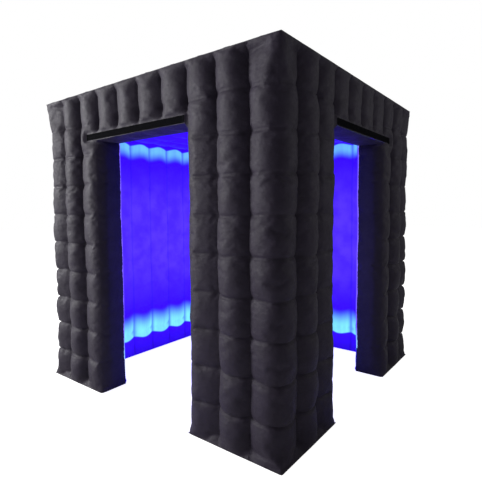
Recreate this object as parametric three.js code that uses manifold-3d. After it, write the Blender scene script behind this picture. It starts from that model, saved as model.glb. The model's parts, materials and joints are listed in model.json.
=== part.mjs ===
// Inflatable photo booth: a quilted fabric cube with two doorways in neighbouring sides. Millimetres, +Z up.
// The origin is on the floor at the middle of the booth. The front doorway faces -Y and the side doorway +X.
// Every wall is two sewn skins with an air chamber between them, tied by baffles at the quilting seams.
import * as THREE from "three";
import { mergeVertices } from "three/addons/utils/BufferGeometryUtils.js";
import Module from "manifold-3d";

const wasm = await Module();
wasm.setup();

// Driving dimensions
const SIDE = 2500;
const HEIGHT = 2500;
const CELL = 250; // pitch of the quilting, across and up
const WALL = CELL; // thickness of an inflated wall
const DOOR_WIDTH = 4 * CELL;
const DOOR_HEIGHT = 2100;
const SHEET = 3; // thickness that stands for a coated fabric sheet
const WEB = 2; // thickness that stands for a baffle
const GAP = 0.4; // between pieces that touch
const CORNER_RADIUS = 130;
const BULGE = 10; // how far the corner columns stand proud of the flat panels

// Hook-and-loop strip over each doorway
const STRIP_HEIGHT = 50;
const STRIP_THICK = 2;
const STRIP_RISE = 5; // above the doorway's top
const STRIP_PAST_FAR_JAMB = 120;

// Baffles
const BAFFLE_BOTTOM = 280;
const BAFFLE_TOP = 2180;
const TIE_HEIGHT = 30;
const LINTEL_TIE_Z = 2440;
const LIGHT_CLEARANCE = 20; // between a lintel's baffle and the lining, where the light tape runs
const ROOF_WEB_REACH = 937; // from the middle of the roof to the ends of its webs

// Light tapes, behind the lining
const TAPE_HEIGHT = 12;
const TAPE_THICK = 2;
const TAPE_OFF_LINING = 1;
const TAPE_SHORT_OF_JAMB = 15;
const FLOOR_TAPE_Z = 205;
const CEILING_TAPE_Z = 2233;

// Where the rear equipment sits, looking at the back wall from outside: +x is to the right
const BLOWER_X = 2.5 * CELL;
const BLOWER_Z = 420;
const PANEL_X = 1.5 * CELL;
const PANEL_Z = 380;
const ZIP_X = -2.5 * CELL;

// Blower
const SCROLL_SMALL = 82; // radius of the scroll at its tongue
const SCROLL_LARGE = 112; // radius where the scroll becomes the outlet
const SCROLL_TONGUE = 55; // degrees
const SCROLL_TOP = 150; // height of the outlet over the axis
const SCROLL_WALL = 3;
const CASE_DEPTH = 45; // of each half
const CASE_FACE = 1220; // distance of the inlet face from the booth's middle
const INLET_RADIUS = 55;
const IMPELLER_RADIUS = 70;
const BLADE_INNER_RADIUS = 52;
const BLADES = 20;
const BLADE_LENGTH = 55;
const BLADE_THICK = 2;
const BLADE_SWEEP = 18; // degrees
const SHAFT_RADIUS = 4;
const SHAFT_CLEARANCE = 0.4;
const SHAFT_IN_FAN = 30; // length of the shaft in front of the case's back
const SHAFT_IN_MOTOR = 40;
const FAN_CLEARANCE = 10; // between the fan's back plate and the case
const RING_WIDTH = 6; // of the fan's front ring
const HUB_RADIUS = 12;
const MOTOR_RADIUS = 36;
const MOTOR_LENGTH = 77;
const MOTOR_FLANGE = [8, 3]; // how far it stands out, and its thickness
const MOTOR_BEVEL = 6;

// Intake grille
const INTAKE_HOLE = 66; // radius of the hole in the skin
const INTAKE_FLANGE = 90;
const INTAKE_OUTER = 62;
const INTAKE_INNER = 58;
const INTAKE_FLANGE_THICK = 4;
const INTAKE_BARS = 7;
const INTAKE_BAR = 4;

// Service panel
const PANEL_WIDTH = 180;
const PANEL_HEIGHT = 90;
const PANEL_THICK = 3;
const CUTOUT_WIDTH = 160;
const CUTOUT_HEIGHT = 70;
const INLET_X = -57; // from the panel's middle
const ROCKER_X = -7;
const BUTTON_X = 50;
const INLET_BODY = [28, 20]; // across and up
const INLET_RECESS = [23, 15];
const INLET_FLANGE = [6, 4]; // how far the flange stands out past the body
const INLET_FLANGE_THICK = 2;
const INLET_DEPTH = 24;
const RECESS_DEPTH = 17;
const PIN_LENGTH = 12.2;
const PIN_SIZE = [2, 4];
const PIN_SPOTS = [[-7, -2], [7, -2], [0, 2]]; // line, neutral and earth
const PANEL_CORNER = 8; // radius
const ROCKER_SIZE = [13, 22]; // across and up
const ROCKER_CLEARANCE = 2.4;
const ROCKER_TILT = 10; // degrees each side of level
const ROCKER_RISE = 1.5; // of its middle over its axis
const ROCKER_BODY = [2, 6]; // how deep the sides and the bottom of its body lie behind its axis
const BUTTON_RADIUS = 8;
const BUTTON_CAP_THICK = 2.6;
const BUTTON_STEM = 5;
const BUTTON_TRAVEL = 2.5;

// Light controller, behind the service panel
const LID_THICK = 2.5;
const CONTROLLER_SIZE = [70, 70]; // across and up
const CONTROLLER_DEPTH = 34;
const CONTROLLER_WALL = 2;

// Leads inside the back wall
const MOTOR_LEAD_RADIUS = 3;
const LIGHT_LEAD_RADIUS = 2;

// Deflation zip
const ZIP_BOTTOM = 140;
const ZIP_LENGTH = 430;
const ZIP_WIDTH = 34;
const ZIP_TAPE_THICK = 1.2;
const ZIP_COIL_WIDTH = 5;
const COIL_MARGIN = 10; // of plain tape at each end of the coil
const ZIP_SLOT = 8;
const SLIDER_SIZE = [12, 3, 14];
const PIN_RADIUS = 0.7;
const PIN_PLAY = 0.35;
const PIN_Z = 3; // height of the pin over the slider's middle
const EAR_THICK = 1.2;
const EAR_HALF_HEIGHT = 2;
const BARREL_RADIUS = 1.8;
const TAB_LENGTH = 30;
const TAB_WIDTH = 6;
const TAB_THICK = 1.2;
const TAB_SLOT = [2, 10]; // width and length of the slot in the tab's lower end

// Distances of the sheets' faces from the booth's middle
const HALF = SIDE / 2;
const SKIN_FACE = HALF - BULGE;
const SKIN_BACK = SKIN_FACE - SHEET;
const ROOM = HALF - WALL;
const LINING_BACK = ROOM + SHEET;
const CEILING = HEIGHT - WALL;
const CORNER = HALF - CELL; // where the corner columns end
const FLOOR_LEVEL = SHEET + GAP;
const ROOF_LEVEL = HEIGHT - SHEET - GAP;
const CAVITY_OUT = SKIN_BACK - GAP;
const CAVITY_IN = LINING_BACK + GAP;
const ON_SKIN = SKIN_FACE + GAP; // what lies on the outside of the skin starts here

const FINISHES = {
  blackFabric: { color: 0x1b1a1f, roughness: 0.75, metalness: 0 },
  whiteFabric: { color: 0xe4e4ec, roughness: 0.7, metalness: 0 },
  hookTape: { color: 0x08080a, roughness: 0.95, metalness: 0 },
  baffleFabric: { color: 0xc9c9cf, roughness: 0.8, metalness: 0 },
  lightTape: { color: 0x5a6cff, roughness: 0.4, metalness: 0 },
  blackPlastic: { color: 0x151517, roughness: 0.45, metalness: 0 },
  greyPlastic: { color: 0x55575c, roughness: 0.5, metalness: 0 },
  metal: { color: 0xa7a9ad, roughness: 0.35, metalness: 0.9 },
  cable: { color: 0x101012, roughness: 0.5, metalness: 0 },
};

const radians = THREE.MathUtils.degToRad;

// --- Making solids ---

// Adds a named mesh with its own material to a group.
function part(group, name, finish, geometry, position = [0, 0, 0], rotation = [0, 0, 0]) {
  const mesh = new THREE.Mesh(geometry, new THREE.MeshStandardMaterial(FINISHES[finish]));
  mesh.name = name;
  mesh.position.set(...position);
  mesh.rotation.set(...rotation);
  group.add(mesh);
}

// A box between two corners.
function boxBetween(low, high) {
  const size = low.map((value, axis) => high[axis] - value);
  const middle = low.map((value, axis) => (high[axis] + value) / 2);
  return new THREE.BoxGeometry(...size).translate(...middle);
}

// A named flat sheet between two corners.
function sheet(group, name, finish, low, high) {
  part(group, name, finish, boxBetween(low, high));
}

// A closed geometry as a solid that can be joined and cut.
function solidOf(geometry) {
  const bare = new THREE.BufferGeometry();
  bare.setAttribute("position", geometry.getAttribute("position"));
  bare.setIndex(geometry.index);
  const merged = mergeVertices(bare);
  const mesh = new wasm.Mesh({
    numProp: 3,
    vertProperties: merged.attributes.position.array,
    triVerts: new Uint32Array(merged.index.array),
  });
  return new wasm.Manifold(mesh);
}

function geometryOf(solid) {
  const mesh = solid.getMesh();
  const geometry = new THREE.BufferGeometry();
  geometry.setAttribute("position", new THREE.BufferAttribute(mesh.vertProperties, 3));
  geometry.setIndex(new THREE.BufferAttribute(mesh.triVerts, 1));
  geometry.computeVertexNormals();
  return geometry;
}

// Joins the first list of geometries and cuts the second from them.
function joined(geometries, cuts = []) {
  let solid = solidOf(geometries[0]);
  for (const geometry of geometries.slice(1)) {
    solid = solid.add(solidOf(geometry));
  }
  for (const cut of cuts) {
    solid = solid.subtract(solidOf(cut));
  }
  return geometryOf(solid);
}

// A shape drawn in x and z, extruded outwards (-Y) from y = 0.
function upright(shape, depth, curveSegments = 24) {
  const geometry = new THREE.ExtrudeGeometry(shape, { depth, bevelEnabled: false, curveSegments });
  return geometry.rotateX(Math.PI / 2);
}

function rectangle(width, height, x = 0, z = 0) {
  const shape = new THREE.Path();
  shape.moveTo(x - width / 2, z - height / 2);
  shape.lineTo(x + width / 2, z - height / 2);
  shape.lineTo(x + width / 2, z + height / 2);
  shape.lineTo(x - width / 2, z + height / 2);
  shape.closePath();
  return shape;
}

// A ring or disc turned about the Y axis, from a closed outline of [radius, y] points.
function turned(outline, segments = 32) {
  const points = [...outline, outline[0]].map(([radius, y]) => new THREE.Vector2(radius, y));
  return new THREE.LatheGeometry(points, segments);
}

// A round bar along Y between two distances.
function barAlongY(radius, from, to, segments = 24) {
  const bar = new THREE.CylinderGeometry(radius, radius, to - from, segments);
  return bar.translate(0, (from + to) / 2, 0);
}

function barAlongX(radius, from, to, y, z, segments = 12) {
  const bar = new THREE.CylinderGeometry(radius, radius, to - from, segments);
  return bar.rotateZ(Math.PI / 2).translate((from + to) / 2, y, z);
}

// --- The booth, one group for each wall, drawn as the wall that faces -Y and then turned ---

const booth = new THREE.Group();

function wallGroup(quarterTurns) {
  const group = new THREE.Group();
  group.rotation.z = quarterTurns * (Math.PI / 2);
  booth.add(group);
  return group;
}

const front = wallGroup(0);
const side = wallGroup(1);
const back = wallGroup(2);
const left = wallGroup(3);

// One column of skin that wraps round the corner at (+x, -y).
function cornerColumn() {
  const outline = new THREE.Shape();
  const inner = HALF - SHEET;
  const innerRadius = CORNER_RADIUS - SHEET;
  const centre = HALF - CORNER_RADIUS;
  const start = CORNER + GAP;
  outline.moveTo(start, -HALF);
  outline.lineTo(centre, -HALF);
  outline.absarc(centre, -centre, CORNER_RADIUS, -Math.PI / 2, 0, false);
  outline.lineTo(HALF, -start);
  outline.lineTo(inner, -start);
  outline.lineTo(inner, -centre);
  outline.absarc(centre, -centre, innerRadius, 0, -Math.PI / 2, true);
  outline.lineTo(start, -inner);
  const depth = ROOF_LEVEL - FLOOR_LEVEL;
  const geometry = new THREE.ExtrudeGeometry(outline, { depth, bevelEnabled: false, curveSegments: 8 });
  return geometry.translate(0, 0, FLOOR_LEVEL);
}

part(front, "corner_column_near", "blackFabric", cornerColumn());
part(side, "corner_column_back_right", "blackFabric", cornerColumn());
part(back, "corner_column_back_left", "blackFabric", cornerColumn());
part(left, "corner_column_front_left", "blackFabric", cornerColumn());

// A strip that closes the bottom of a wall, with rounded outer corners where it reaches the booth's corners.
function baseStrip(fromX, toX) {
  const outline = new THREE.Shape();
  const centre = HALF - CORNER_RADIUS;
  outline.moveTo(fromX, -ROOM);
  if (fromX <= -HALF) {
    outline.lineTo(fromX, -centre);
    outline.absarc(-centre, -centre, CORNER_RADIUS, Math.PI, 1.5 * Math.PI, false);
  } else {
    outline.lineTo(fromX, -HALF);
  }
  if (toX >= HALF) {
    outline.lineTo(centre, -HALF);
    outline.absarc(centre, -centre, CORNER_RADIUS, -Math.PI / 2, 0, false);
  } else {
    outline.lineTo(toX, -HALF);
  }
  outline.lineTo(toX, -ROOM);
  return new THREE.ExtrudeGeometry(outline, { depth: SHEET, bevelEnabled: false, curveSegments: 8 });
}

const jamb = DOOR_WIDTH / 2;
const meets = CORNER - GAP; // where a strip or panel stops short of a corner's piece
part(front, "base_strip_front_left", "blackFabric", baseStrip(-meets, -jamb));
part(front, "base_strip_front_right", "blackFabric", baseStrip(jamb, HALF));
part(side, "base_strip_side_near", "blackFabric", baseStrip(-meets, -jamb));
part(side, "base_strip_side_far", "blackFabric", baseStrip(jamb, meets));
part(back, "base_strip_back", "blackFabric", baseStrip(-HALF, meets));
part(left, "base_strip_left", "blackFabric", baseStrip(-HALF, HALF));

// The skins, linings, reveals and curtain strip of a wall with a doorway. nearSide is the side (-1 or 1) of the
// pillar that the two doorways share.
function doorwayWall(group, name, lowName, highName, nearSide) {
  const under = DOOR_HEIGHT - GAP;
  const liningTop = CEILING - GAP;
  const revealOut = -SKIN_BACK + GAP;
  const revealIn = -LINING_BACK - GAP;
  for (const [label, from, to] of [[lowName, -1, 0], [highName, 0, 1]]) {
    const x0 = from < 0 ? -meets : jamb;
    const x1 = to > 0 ? meets : -jamb;
    sheet(group, `${name}_panel_${label}`, "blackFabric",
      [x0, -SKIN_FACE, FLOOR_LEVEL], [x1, -SKIN_BACK, ROOF_LEVEL]);
    const edge = from < 0 ? -jamb : jamb;
    const face = from < 0 ? [edge - SHEET, edge] : [edge, edge + SHEET];
    sheet(group, `lining_${name}_${label}`, "whiteFabric",
      [x0, -LINING_BACK, FLOOR_LEVEL], [x1, -ROOM, liningTop]);
    sheet(group, `${name}_jamb_${label}`, "blackFabric",
      [face[0], revealOut, FLOOR_LEVEL], [face[1], revealIn, under]);
  }
  sheet(group, `${name}_lintel_panel`, "blackFabric",
    [-jamb + GAP, -SKIN_FACE, DOOR_HEIGHT], [jamb - GAP, -SKIN_BACK, ROOF_LEVEL]);
  sheet(group, `lining_${name}_lintel`, "whiteFabric",
    [-jamb + GAP, -LINING_BACK, DOOR_HEIGHT], [jamb - GAP, -ROOM, liningTop]);
  sheet(group, `${name}_soffit`, "blackFabric",
    [-jamb - SHEET, revealOut, DOOR_HEIGHT], [jamb + SHEET, revealIn, DOOR_HEIGHT + SHEET]);
  const farEnd = jamb + STRIP_PAST_FAR_JAMB;
  const ends = nearSide > 0 ? [-farEnd, jamb] : [-jamb, farEnd];
  const stripZ = DOOR_HEIGHT + STRIP_RISE;
  sheet(group, `${name}_hook_strip`, "hookTape",
    [ends[0], -ON_SKIN - STRIP_THICK, stripZ], [ends[1], -ON_SKIN, stripZ + STRIP_HEIGHT]);
}

doorwayWall(front, "front", "left", "right", 1);
doorwayWall(side, "side", "near", "far", -1);

// The left wall is whole. The back wall is whole but for the holes of the intake, service panel and zip.
sheet(left, "left_wall_panel", "blackFabric",
  [-meets, -SKIN_FACE, FLOOR_LEVEL], [meets, -SKIN_BACK, ROOF_LEVEL]);
sheet(left, "lining_left_wall", "whiteFabric",
  [-meets, -LINING_BACK, FLOOR_LEVEL], [meets, -ROOM, CEILING - GAP]);
sheet(back, "lining_back_wall", "whiteFabric",
  [-meets, -LINING_BACK, FLOOR_LEVEL], [meets, -ROOM, CEILING - GAP]);

function backPanel() {
  const outline = new THREE.Shape();
  outline.moveTo(-meets, FLOOR_LEVEL);
  outline.lineTo(meets, FLOOR_LEVEL);
  outline.lineTo(meets, ROOF_LEVEL);
  outline.lineTo(-meets, ROOF_LEVEL);
  const intake = new THREE.Path();
  intake.absarc(BLOWER_X, BLOWER_Z, INTAKE_HOLE, 0, 2 * Math.PI, true);
  const zipMiddle = ZIP_BOTTOM + ZIP_LENGTH / 2;
  const zipOpening = ZIP_LENGTH - 2 * ZIP_WIDTH;
  outline.holes.push(
    intake,
    rectangle(CUTOUT_WIDTH, CUTOUT_HEIGHT, PANEL_X, PANEL_Z),
    rectangle(ZIP_SLOT, zipOpening, ZIP_X, zipMiddle),
  );
  return upright(outline, SHEET);
}
part(back, "back_wall_panel", "blackFabric", backPanel(), [0, -SKIN_BACK, 0]);

function roundedRectangle(halfWidth, halfHeight, radius) {
  const shape = new THREE.Shape();
  const x = halfWidth - radius;
  const y = halfHeight - radius;
  shape.absarc(x, -y, radius, -Math.PI / 2, 0, false);
  shape.absarc(x, y, radius, 0, Math.PI / 2, false);
  shape.absarc(-x, y, radius, Math.PI / 2, Math.PI, false);
  shape.absarc(-x, -y, radius, Math.PI, 1.5 * Math.PI, false);
  return shape;
}
const roof = new THREE.ExtrudeGeometry(roundedRectangle(HALF, HALF, CORNER_RADIUS), {
  depth: SHEET, bevelEnabled: false, curveSegments: 8,
});
part(booth, "roof_panel", "blackFabric", roof, [0, 0, HEIGHT - SHEET]);
sheet(booth, "ceiling_panel", "whiteFabric",
  [-LINING_BACK, -LINING_BACK, CEILING], [LINING_BACK, LINING_BACK, CEILING + SHEET]);

// --- Baffles: webs across the air chamber at each vertical seam, held in line by a tie tape ---

// Maps a box drawn for the wall that faces -Y onto the wall a number of quarter turns round.
function turnedBox(low, high, quarterTurns) {
  return boxBetween(low, high).rotateZ(quarterTurns * (Math.PI / 2));
}

const CAVITY_MIDDLE = (CAVITY_OUT + CAVITY_IN) / 2;
const TIE_Z = (BAFFLE_BOTTOM + BAFFLE_TOP) / 2;

function webAt(x, quarterTurns) {
  return turnedBox([x - WEB / 2, -CAVITY_OUT, BAFFLE_BOTTOM],
    [x + WEB / 2, -CAVITY_IN, BAFFLE_TOP], quarterTurns);
}

function tieBetween(fromX, toX, z, quarterTurns) {
  const y = -CAVITY_MIDDLE;
  return turnedBox([fromX, y - WEB / 2, z], [toX, y + WEB / 2, z + TIE_HEIGHT], quarterTurns);
}

function webs(fromX, toX, quarterTurns) {
  const made = [];
  for (let x = fromX; x <= toX; x += CELL) {
    made.push(webAt(x, quarterTurns));
  }
  return made;
}

// Webs over a doorway, hung from a tie that runs on from the near pillar's outermost web.
function lintelBaffles(nearSide, quarterTurns) {
  const inner = -CAVITY_IN - LIGHT_CLEARANCE;
  const pillarWeb = nearSide * (jamb + CELL);
  const farWeb = -nearSide * CELL;
  const made = [
    turnedBox([pillarWeb - WEB / 2, -CAVITY_OUT, BAFFLE_TOP - TIE_HEIGHT],
      [pillarWeb + WEB / 2, inner, LINTEL_TIE_Z + TIE_HEIGHT], quarterTurns),
    tieBetween(Math.min(pillarWeb, farWeb), Math.max(pillarWeb, farWeb), LINTEL_TIE_Z, quarterTurns),
  ];
  for (const x of [-CELL, 0, CELL]) {
    made.push(turnedBox([x - WEB / 2, -CAVITY_OUT, DOOR_HEIGHT + SHEET + GAP],
      [x + WEB / 2, inner, LINTEL_TIE_Z + TIE_HEIGHT], quarterTurns));
  }
  return made;
}

const pillarEnd = jamb + CELL;
const nearPillar = joined([
  tieBetween(pillarEnd, CAVITY_MIDDLE, TIE_Z, 0),
  tieBetween(-CAVITY_MIDDLE, -pillarEnd, TIE_Z, 1),
  ...webs(pillarEnd, CORNER, 0),
  ...webs(-CORNER, -pillarEnd, 1),
  ...lintelBaffles(1, 0),
  ...lintelBaffles(-1, 1),
]);
part(booth, "baffles_near_pillar", "baffleFabric", nearPillar);

const leftRun = joined([
  tieBetween(-CAVITY_MIDDLE, CAVITY_MIDDLE, TIE_Z, 3),
  tieBetween(-CAVITY_MIDDLE, -pillarEnd, TIE_Z, 0),
  ...webs(-CORNER, CORNER, 3),
  ...webs(-CORNER, -pillarEnd, 0),
]);
part(booth, "baffles_left_wall", "baffleFabric", leftRun);

const backRun = joined([
  tieBetween(-CAVITY_MIDDLE, CORNER, TIE_Z, 2),
  tieBetween(pillarEnd, CAVITY_MIDDLE, TIE_Z, 1),
  ...webs(-CORNER, CORNER, 2),
  ...webs(pillarEnd, CORNER, 1),
]);
part(booth, "baffles_back_wall", "baffleFabric", backRun);

function roofBaffles() {
  const low = CEILING + SHEET + GAP;
  const high = ROOF_LEVEL - GAP;
  const middle = (low + high) / 2;
  const made = [
    boxBetween([-ROOF_WEB_REACH, -WEB / 2, middle], [ROOF_WEB_REACH, WEB / 2, middle + TIE_HEIGHT]),
  ];
  for (let x = -3 * CELL; x <= 3 * CELL; x += CELL) {
    made.push(boxBetween([x - WEB / 2, -ROOF_WEB_REACH, low], [x + WEB / 2, ROOF_WEB_REACH, high]));
  }
  return joined(made);
}
part(booth, "baffles_roof", "baffleFabric", roofBaffles());

// --- Light tapes: one round the ceiling line, and two at the floor line, which the doorways part ---

const TAPE_IN = LINING_BACK + TAPE_OFF_LINING;
const TAPE_OUT = TAPE_IN + TAPE_THICK;

function tapeStrip(fromX, toX, z, quarterTurns) {
  return turnedBox([fromX, -TAPE_OUT, z], [toX, -TAPE_IN, z + TAPE_HEIGHT], quarterTurns);
}
const tapeEnd = jamb + TAPE_SHORT_OF_JAMB;
part(booth, "light_tape_ceiling", "lightTape",
  joined([0, 1, 2, 3].map((turn) => tapeStrip(-TAPE_OUT, TAPE_OUT, CEILING_TAPE_Z, turn))));
part(booth, "light_tape_floor_near", "lightTape", joined([
  tapeStrip(tapeEnd, TAPE_OUT, FLOOR_TAPE_Z, 0),
  tapeStrip(-TAPE_OUT, -tapeEnd, FLOOR_TAPE_Z, 1),
]));
part(booth, "light_tape_floor_long", "lightTape", joined([
  tapeStrip(-TAPE_OUT, -tapeEnd, FLOOR_TAPE_Z, 0),
  tapeStrip(-TAPE_OUT, TAPE_OUT, FLOOR_TAPE_Z, 3),
  tapeStrip(-TAPE_OUT, TAPE_OUT, FLOOR_TAPE_Z, 2),
  tapeStrip(tapeEnd, TAPE_OUT, FLOOR_TAPE_Z, 1),
]));

// --- Blower, in the back wall's chamber, its axis square to the wall ---

const blower = new THREE.Group();
blower.position.set(BLOWER_X, 0, BLOWER_Z);
back.add(blower);

// The scroll's outline in x and z, drawn inset by a wall thickness, with the outlet upwards.
function scroll(inset, top) {
  const tongue = radians(SCROLL_TONGUE);
  const steps = 40;
  const points = [];
  for (let step = 0; step <= steps; step++) {
    const angle = tongue + (2 * Math.PI - tongue) * (step / steps);
    const radius = SCROLL_SMALL + (SCROLL_LARGE - SCROLL_SMALL) * (step / steps) - inset;
    points.push(new THREE.Vector2(radius * Math.cos(angle), radius * Math.sin(angle)));
  }
  const outletLeft = SCROLL_SMALL * Math.cos(tongue) + inset;
  points.push(
    new THREE.Vector2(SCROLL_LARGE - inset, top),
    new THREE.Vector2(outletLeft, top),
    new THREE.Vector2(outletLeft, SCROLL_SMALL * Math.sin(tongue)),
  );
  return new THREE.Shape(points);
}

// Half of the scroll case, between two distances along the axis, with its hollow and a round hole cut from it.
function caseHalf(outerY, innerY, hollowY, holeRadius) {
  const shell = upright(scroll(0, SCROLL_TOP), innerY - outerY).translate(0, innerY, 0);
  const hollow = upright(scroll(SCROLL_WALL, SCROLL_TOP + 10), CASE_DEPTH).translate(0, hollowY, 0);
  return joined([shell], [hollow, barAlongY(holeRadius, outerY - 1, innerY + 1)]);
}

const CASE_SPLIT = -CASE_FACE + CASE_DEPTH;
const CASE_BACK = CASE_SPLIT + GAP + CASE_DEPTH;
part(blower, "blower_case_front", "blackPlastic",
  caseHalf(-CASE_FACE, CASE_SPLIT, CASE_SPLIT + SCROLL_WALL, INLET_RADIUS));
part(blower, "blower_case_back", "blackPlastic",
  caseHalf(CASE_SPLIT + GAP, CASE_BACK, CASE_BACK - SCROLL_WALL, 2 * SHAFT_RADIUS));

// A forward-curved fan: back plate and hub, blades, and a front ring.
function impeller() {
  const plateBack = CASE_BACK - SCROLL_WALL - FAN_CLEARANCE;
  const plateFront = plateBack - BLADE_THICK;
  const bladeFront = plateFront - BLADE_LENGTH;
  const bore = SHAFT_RADIUS + SHAFT_CLEARANCE;
  const plate = turned([
    [bore, plateBack], [bore, plateFront - 2 * HUB_RADIUS], [HUB_RADIUS, plateFront - 2 * HUB_RADIUS],
    [HUB_RADIUS, plateFront], [IMPELLER_RADIUS, plateFront], [IMPELLER_RADIUS, plateBack],
  ], 40);
  const ringInner = IMPELLER_RADIUS - RING_WIDTH;
  const ring = turned([
    [ringInner, bladeFront + 1], [ringInner, bladeFront - BLADE_THICK],
    [IMPELLER_RADIUS, bladeFront - BLADE_THICK], [IMPELLER_RADIUS, bladeFront + 1],
  ], 40);
  const made = [plate, ring];
  const sweep = radians(BLADE_SWEEP);
  for (let blade = 0; blade < BLADES; blade++) {
    const outline = new THREE.Shape();
    const outer = IMPELLER_RADIUS - 1;
    outline.moveTo(BLADE_INNER_RADIUS, -BLADE_THICK / 2);
    outline.lineTo(outer * Math.cos(sweep), outer * Math.sin(sweep) - BLADE_THICK / 2);
    outline.lineTo(outer * Math.cos(sweep), outer * Math.sin(sweep) + BLADE_THICK / 2);
    outline.lineTo(BLADE_INNER_RADIUS, BLADE_THICK / 2);
    const length = BLADE_LENGTH + 1;
    const geometry = upright(outline, length).translate(0, plateFront + 0.5, 0);
    made.push(geometry.rotateY((blade * 2 * Math.PI) / BLADES));
  }
  return joined(made);
}
part(blower, "blower_impeller", "greyPlastic", impeller());

const MOTOR_FACE = CASE_BACK + GAP;
part(blower, "blower_shaft", "metal",
  barAlongY(SHAFT_RADIUS, CASE_BACK - SHAFT_IN_FAN, MOTOR_FACE + SHAFT_IN_MOTOR));

function motor() {
  const bore = SHAFT_RADIUS + SHAFT_CLEARANCE;
  const boreEnd = MOTOR_FACE + SHAFT_IN_MOTOR + 2;
  const [flangeOut, flangeThick] = MOTOR_FLANGE;
  const rear = MOTOR_FACE + MOTOR_LENGTH;
  return turned([
    [bore, MOTOR_FACE], [MOTOR_RADIUS + flangeOut, MOTOR_FACE],
    [MOTOR_RADIUS + flangeOut, MOTOR_FACE + flangeThick], [MOTOR_RADIUS, MOTOR_FACE + flangeThick],
    [MOTOR_RADIUS, rear - MOTOR_BEVEL], [MOTOR_RADIUS - MOTOR_BEVEL, rear],
    [0, rear], [0, boreEnd], [bore, boreEnd],
  ]);
}
part(blower, "blower_motor", "metal", motor());

// The grille's flange lies on the skin, and its sleeve reaches through to the blower's inlet.
function intakeGrille() {
  const outside = -ON_SKIN - INTAKE_FLANGE_THICK;
  const ring = turned([
    [INTAKE_INNER, outside], [INTAKE_FLANGE - 2, outside], [INTAKE_FLANGE, -ON_SKIN],
    [INTAKE_OUTER, -ON_SKIN], [INTAKE_OUTER, -CASE_FACE - 2], [INTAKE_INNER, -CASE_FACE - 2],
  ], 48);
  const made = [ring];
  const pitch = (2 * INTAKE_INNER) / (INTAKE_BARS + 1);
  for (let bar = 1; bar <= INTAKE_BARS; bar++) {
    const z = -INTAKE_INNER + bar * pitch;
    const reach = Math.sqrt(INTAKE_INNER ** 2 - z ** 2) + 2;
    made.push(boxBetween([-reach, outside + 0.5, z - INTAKE_BAR / 2], [reach, -ON_SKIN, z + INTAKE_BAR / 2]));
  }
  return joined(made);
}
part(blower, "intake_grille", "blackPlastic", intakeGrille());

// --- Service panel: mains inlet, blower switch and light button ---

const service = new THREE.Group();
service.position.set(PANEL_X, 0, PANEL_Z);
back.add(service);

const PANEL_FRONT = -ON_SKIN - PANEL_THICK;
const INLET_FRONT = PANEL_FRONT - GAP - INLET_FLANGE_THICK;
const INLET_REAR = INLET_FRONT + INLET_DEPTH;
const BUTTON_HOLE = BUTTON_STEM + 1;

function servicePlate() {
  const plate = roundedRectangle(PANEL_WIDTH / 2, PANEL_HEIGHT / 2, PANEL_CORNER);
  const button = new THREE.Path();
  button.absarc(BUTTON_X, 0, BUTTON_HOLE, 0, 2 * Math.PI, true);
  plate.holes.push(
    rectangle(INLET_BODY[0] + 1, INLET_BODY[1] + 1, INLET_X, 0),
    rectangle(ROCKER_SIZE[0] + ROCKER_CLEARANCE, ROCKER_SIZE[1] + ROCKER_CLEARANCE, ROCKER_X, 0),
    button,
  );
  return upright(plate, PANEL_THICK, 12);
}
part(service, "service_panel", "blackPlastic", servicePlate(), [0, -ON_SKIN, 0]);

// A box of a width and height round a line along Y, between its two ends.
function boxAlongY([width, height], from, to, x = 0, z = 0) {
  return boxBetween([x - width / 2, from, z - height / 2], [x + width / 2, to, z + height / 2]);
}

// A three-pin mains inlet: a flange, a body with a recess, and pins on the recess's floor.
function mainsInlet() {
  const recessFloor = INLET_FRONT + RECESS_DEPTH;
  const flangeSize = INLET_BODY.map((value, axis) => value + 2 * INLET_FLANGE[axis]);
  const flange = boxAlongY(flangeSize, INLET_FRONT, INLET_FRONT + INLET_FLANGE_THICK);
  const body = boxAlongY(INLET_BODY, INLET_FRONT + 1, INLET_REAR);
  const recess = boxAlongY(INLET_RECESS, INLET_FRONT - 1, recessFloor);
  let solid = solidOf(flange).add(solidOf(body)).subtract(solidOf(recess));
  for (const [x, z] of PIN_SPOTS) {
    solid = solid.add(solidOf(boxAlongY(PIN_SIZE, recessFloor - PIN_LENGTH, recessFloor + 1, x, z)));
  }
  return geometryOf(solid);
}
part(service, "mains_inlet", "blackPlastic", mainsInlet(), [INLET_X, 0, 0]);

// The rocker's section: a shallow V outside, and a body that stays inside the panel's hole.
function rocker() {
  const half = ROCKER_SIZE[1] / 2;
  const rise = half * Math.tan(radians(ROCKER_TILT));
  const [sides, bottom] = ROCKER_BODY;
  const section = new THREE.Shape();
  section.moveTo(-half, -ROCKER_RISE - rise);
  section.lineTo(0, -ROCKER_RISE);
  section.lineTo(half, -ROCKER_RISE - rise);
  section.lineTo(half - 0.5, sides);
  section.lineTo(half / 3, bottom);
  section.lineTo(-half / 3, bottom);
  section.lineTo(-half + 0.5, sides);
  const geometry = new THREE.ExtrudeGeometry(section, { depth: ROCKER_SIZE[0], bevelEnabled: false });
  // the section's first axis becomes z, its second y, and its depth x
  geometry.translate(0, 0, -ROCKER_SIZE[0] / 2);
  return geometry.applyMatrix4(new THREE.Matrix4().set(
    0, 0, 1, 0,
    0, 1, 0, 0,
    -1, 0, 0, 0,
    0, 0, 0, 1,
  ));
}
const ROCKER_PIVOT = PANEL_FRONT + 1;
part(service, "blower_switch", "greyPlastic", rocker(), [ROCKER_X, ROCKER_PIVOT, 0],
  [radians(-ROCKER_TILT), 0, 0]);

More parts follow.
